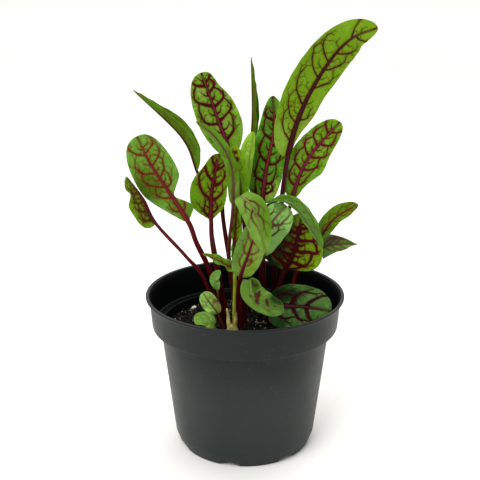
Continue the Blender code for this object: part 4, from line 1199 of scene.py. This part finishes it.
def make_soil():
    edge = soil_edge()
    rings = [(0, SOIL_LEVEL)] + [(edge * (i + 1) / SOIL_RINGS, SOIL_LEVEL) for i in range(SOIL_RINGS)]
    low = [
        (edge, SOIL_LEVEL - 2.0),
        (WALL_FOOT_RADIUS - WALL_THICKNESS - SOIL_GAP, FOOT_CHAMFER_HEIGHT + 0.6),
        (FOOT_RADIUS - 2.2, FLOOR_THICKNESS + 0.3),
        (0, FLOOR_THICKNESS + 0.3),
    ]
    points, faces = lathe(rings + finer(low, SOIL_RUN)[1:], SOIL_STEPS)
    for point in points:
        if point[2] > SOIL_LEVEL - 0.1:
            place = Vector((point[0], point[1], 0))
            clod = max(0.0, noise.noise(place / 2.1 + Vector((0, 0, 5)))) * 1.5
            grit = noise.noise(place / 0.9 + Vector((0, 0, 9))) * 0.5
            edge_drop = max(0.0, math.hypot(point[0], point[1]) - edge + 3) * 0.5
            point[2] += soil_height(point[0], point[1]) + clod + grit - edge_drop
    rng = np.random.default_rng(CRUMB_SEED)
    pebble, pebble_faces = ball(2)
    groups, tones = [points], [np.zeros(len(points))]
    crumbs = [(x, y, radius, 1.3, 0.7, 1.0) for x, y, radius in PERLITE]
    for count, smallest, largest, stretch, flatness, tone in CRUMBS:
        for _ in range(count):
            far = edge * math.sqrt(rng.uniform(0, 0.97))
            turn = rng.uniform(0, 2 * math.pi)
            radius = rng.uniform(smallest, largest)
            crumbs.append((far * math.cos(turn), far * math.sin(turn), radius, stretch, flatness, tone))
    for x, y, radius, stretch, flatness, tone in crumbs:
        seed = Vector(rng.uniform(0, 90, 3))
        lumps = [1 + 0.5 * noise.noise(Vector(way) * 1.4 + seed) for way in pebble]
        shape = np.array([stretch * rng.uniform(0.75, 1.25), rng.uniform(0.75, 1.25), flatness])
        spin = Matrix.Rotation(rng.uniform(0, 6.28), 3, "Z")
        spin = spin @ Matrix.Rotation(rng.uniform(-0.4, 0.4), 3, "X")
        crumb = radius * pebble * shape * np.array(lumps)[:, None] @ np.array(spin).T
        groups.append(crumb + (x, y, SOIL_LEVEL + soil_height(x, y) + 0.35 * radius))
        tones.append(np.full(len(pebble), tone + rng.uniform(0, 0.12)))
        faces += (pebble_faces + len(points) + (len(groups) - 2) * len(pebble)).tolist()
    ground = mesh_from("soil_dressed", np.vstack(groups) * MM, faces)
    store(ground, "tone", np.concatenate(tones))
    soil = link("soil_dressed", ground, [soil_material()])
    put(soil, "soil", "soil")


def soil_material():
    """Dark soil, on which the tone of a crumb lays brown, bark, grey grit and white over each other."""
    made, tree = new_material("potting_soil")
    place = object_place(tree)
    tone = attribute(tree, "tone")
    clumps = grain(tree, place, 240, 4, 0.6)
    grit = grain(tree, place, 1400, 3, 0.7)
    colour = over(tree, rgb(4, 5, 4), rgb(18, 17, 14), clumps, 0.35, 0.7)
    colour = over(tree, colour, rgb(48, 46, 40), grit, 0.55, 0.75, 0.0, 0.4)
    colour = over(tree, colour, rgb(58, 48, 40), tone, 0.2, 0.45, 0.0, 0.6)
    colour = over(tree, colour, rgb(150, 126, 96), tone, 0.5, 0.62, 0.0, 0.8)
    colour = over(tree, colour, rgb(196, 186, 166), tone, 0.74, 0.79)
    colour = over(tree, colour, rgb(206, 202, 190), tone, 0.94, 0.99)
    surface(tree, colour, 0.9, 0.1, plus(tree, clumps, grit), 0.0005)
    return made


# ---------------------------------------------------------------- the crown


def knob_points(ways):
    """The wrinkled knob between the stalks, in mm, from the points of a ball."""
    points = []
    for way in ways:
        way = Vector(way).normalized()
        wrinkle = 0.05 * math.sin(9 * math.atan2(way.y, way.x) + 3 * noise.noise(way * 2))
        radius = CROWN_KNOB_RADIUS * (1 + wrinkle + 0.12 * noise.noise(way * 2.5))
        points.append(Vector(CROWN_KNOB) + way * radius)
    return points


def sheath_points(number, foot, tip, foot_radius, tip_radius):
    """The rings of a ribbed tube with a ragged upper edge, in mm."""
    foot, tip = Vector(foot), Vector(tip)
    turn = (tip - foot).to_track_quat("Z", "Y").to_matrix()
    points = []
    for ring in range(SHEATH_RINGS):
        share = ring / (SHEATH_RINGS - 1)
        lean = noise.noise(Vector((share * 3, number, 4))) * 0.9
        for side in range(SHEATH_SIDES):
            angle = 2 * math.pi * side / SHEATH_SIDES
            radius = foot_radius + (tip_radius - foot_radius) * share
            radius *= 1 + 0.09 * math.sin(7 * angle + number) + 0.05 * math.sin(13 * angle)
            ragged = 1 + 0.06 * math.sin(5 * angle + 2 * number) * (share > 0.9)
            height = (tip - foot).length * share * ragged
            local = Vector((radius * math.cos(angle) + lean, radius * math.sin(angle), height))
            points.append(foot + turn @ local)
    return points


def make_crown():
    ways, faces = ball(4)
    points, faces = knob_points(ways), faces.tolist()
    for number, sheath in enumerate(SHEATHS):
        low = len(points)
        points += sheath_points(number, *sheath)
        top = len(points) - SHEATH_SIDES
        faces += ring_faces(SHEATH_RINGS, SHEATH_SIDES, low)
        faces.append(tuple(range(low, low + SHEATH_SIDES))[::-1])
        faces.append(tuple(range(top, top + SHEATH_SIDES)))
    mesh = mesh_from("crown_dressed", np.array(points) * MM, faces)
    crown = link("crown_dressed", mesh, [crown_material()])
    put(crown, "sheath", "crown_sheaths")


def crown_material():
    made, tree = new_material("papery_sheath")
    place = object_place(tree)
    fibre = grain(tree, vector_maths(tree, "MULTIPLY", place, (1, 1, 0.15)), 900, 3)
    patch = grain(tree, place, 160, 3)
    colour = over(tree, rgb(138, 124, 56), rgb(192, 188, 114), patch, 0.35, 0.65)
    colour = over(tree, colour, rgb(128, 92, 50), fibre, 0.5, 0.7, 0.0, 0.6)
    surface(tree, colour, 0.62, 0.35, fibre, 0.0003)
    return made


# ---------------------------------------------------------------- stage, light and camera


def make_stage():
    corners = [(x * FLOOR_REACH, y * FLOOR_REACH, 0) for x, y in ((-1, -1), (1, -1), (1, 1), (-1, 1))]
    floor = mesh_from("floor", corners, [(0, 1, 2, 3)])
    made, tree = new_material("floor")
    place = object_place(tree)
    colour = over(tree, rgb(240, 240, 239), rgb(244, 244, 243), grain(tree, place, 3), 0.3, 0.7)
    surface(tree, colour, 0.8, 0.5, grain(tree, place, 400), 0.0001, 0.2)
    link("floor", floor, [made], smooth=False)


def stand(data, place, target):
    """Puts a light or the camera at a place, turned towards its target."""
    made = bpy.data.objects.new(data.name, data)
    made.location = place
    made.rotation_euler = (Vector(target) - Vector(place)).to_track_quat("-Z", "Y").to_euler()
    bpy.context.scene.collection.objects.link(made)
    return made


def make_lights():
    world = bpy.data.worlds.new("studio")
    bpy.context.scene.world = world
    world.use_nodes = True
    background = world.node_tree.nodes["Background"].inputs
    background["Color"].default_value = WORLD_COLOUR
    background["Strength"].default_value = WORLD_STRENGTH
    for name, place, target, size, power in LIGHTS:
        data = bpy.data.lights.new(name, "AREA")
        data.shape = "RECTANGLE"
        data.size, data.size_y = size
        data.energy = power
        stand(data, place, target)


def make_camera():
    data = bpy.data.cameras.new("camera")
    data.sensor_width = SENSOR_WIDTH
    data.lens = LENS_LENGTH
    data.dof.use_dof = False
    bpy.context.scene.camera = stand(data, CAMERA_PLACE, CAMERA_AIM)


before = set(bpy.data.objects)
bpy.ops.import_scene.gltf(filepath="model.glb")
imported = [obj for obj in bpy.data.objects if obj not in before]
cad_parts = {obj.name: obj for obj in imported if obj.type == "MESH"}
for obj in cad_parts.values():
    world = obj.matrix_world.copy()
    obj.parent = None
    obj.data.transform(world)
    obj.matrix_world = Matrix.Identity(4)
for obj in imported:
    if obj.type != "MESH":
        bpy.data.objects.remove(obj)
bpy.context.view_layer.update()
make_camera()
make_lights()
make_stage()
make_pot()
make_soil()
make_crown()
for leaf_number, row in enumerate(LEAVES, 1):
    make_blade(leaf_number, {**USUAL, **row})
    make_stalk(leaf_number, {**USUAL, **row})
bpy.context.scene.view_settings.view_transform = "Standard"
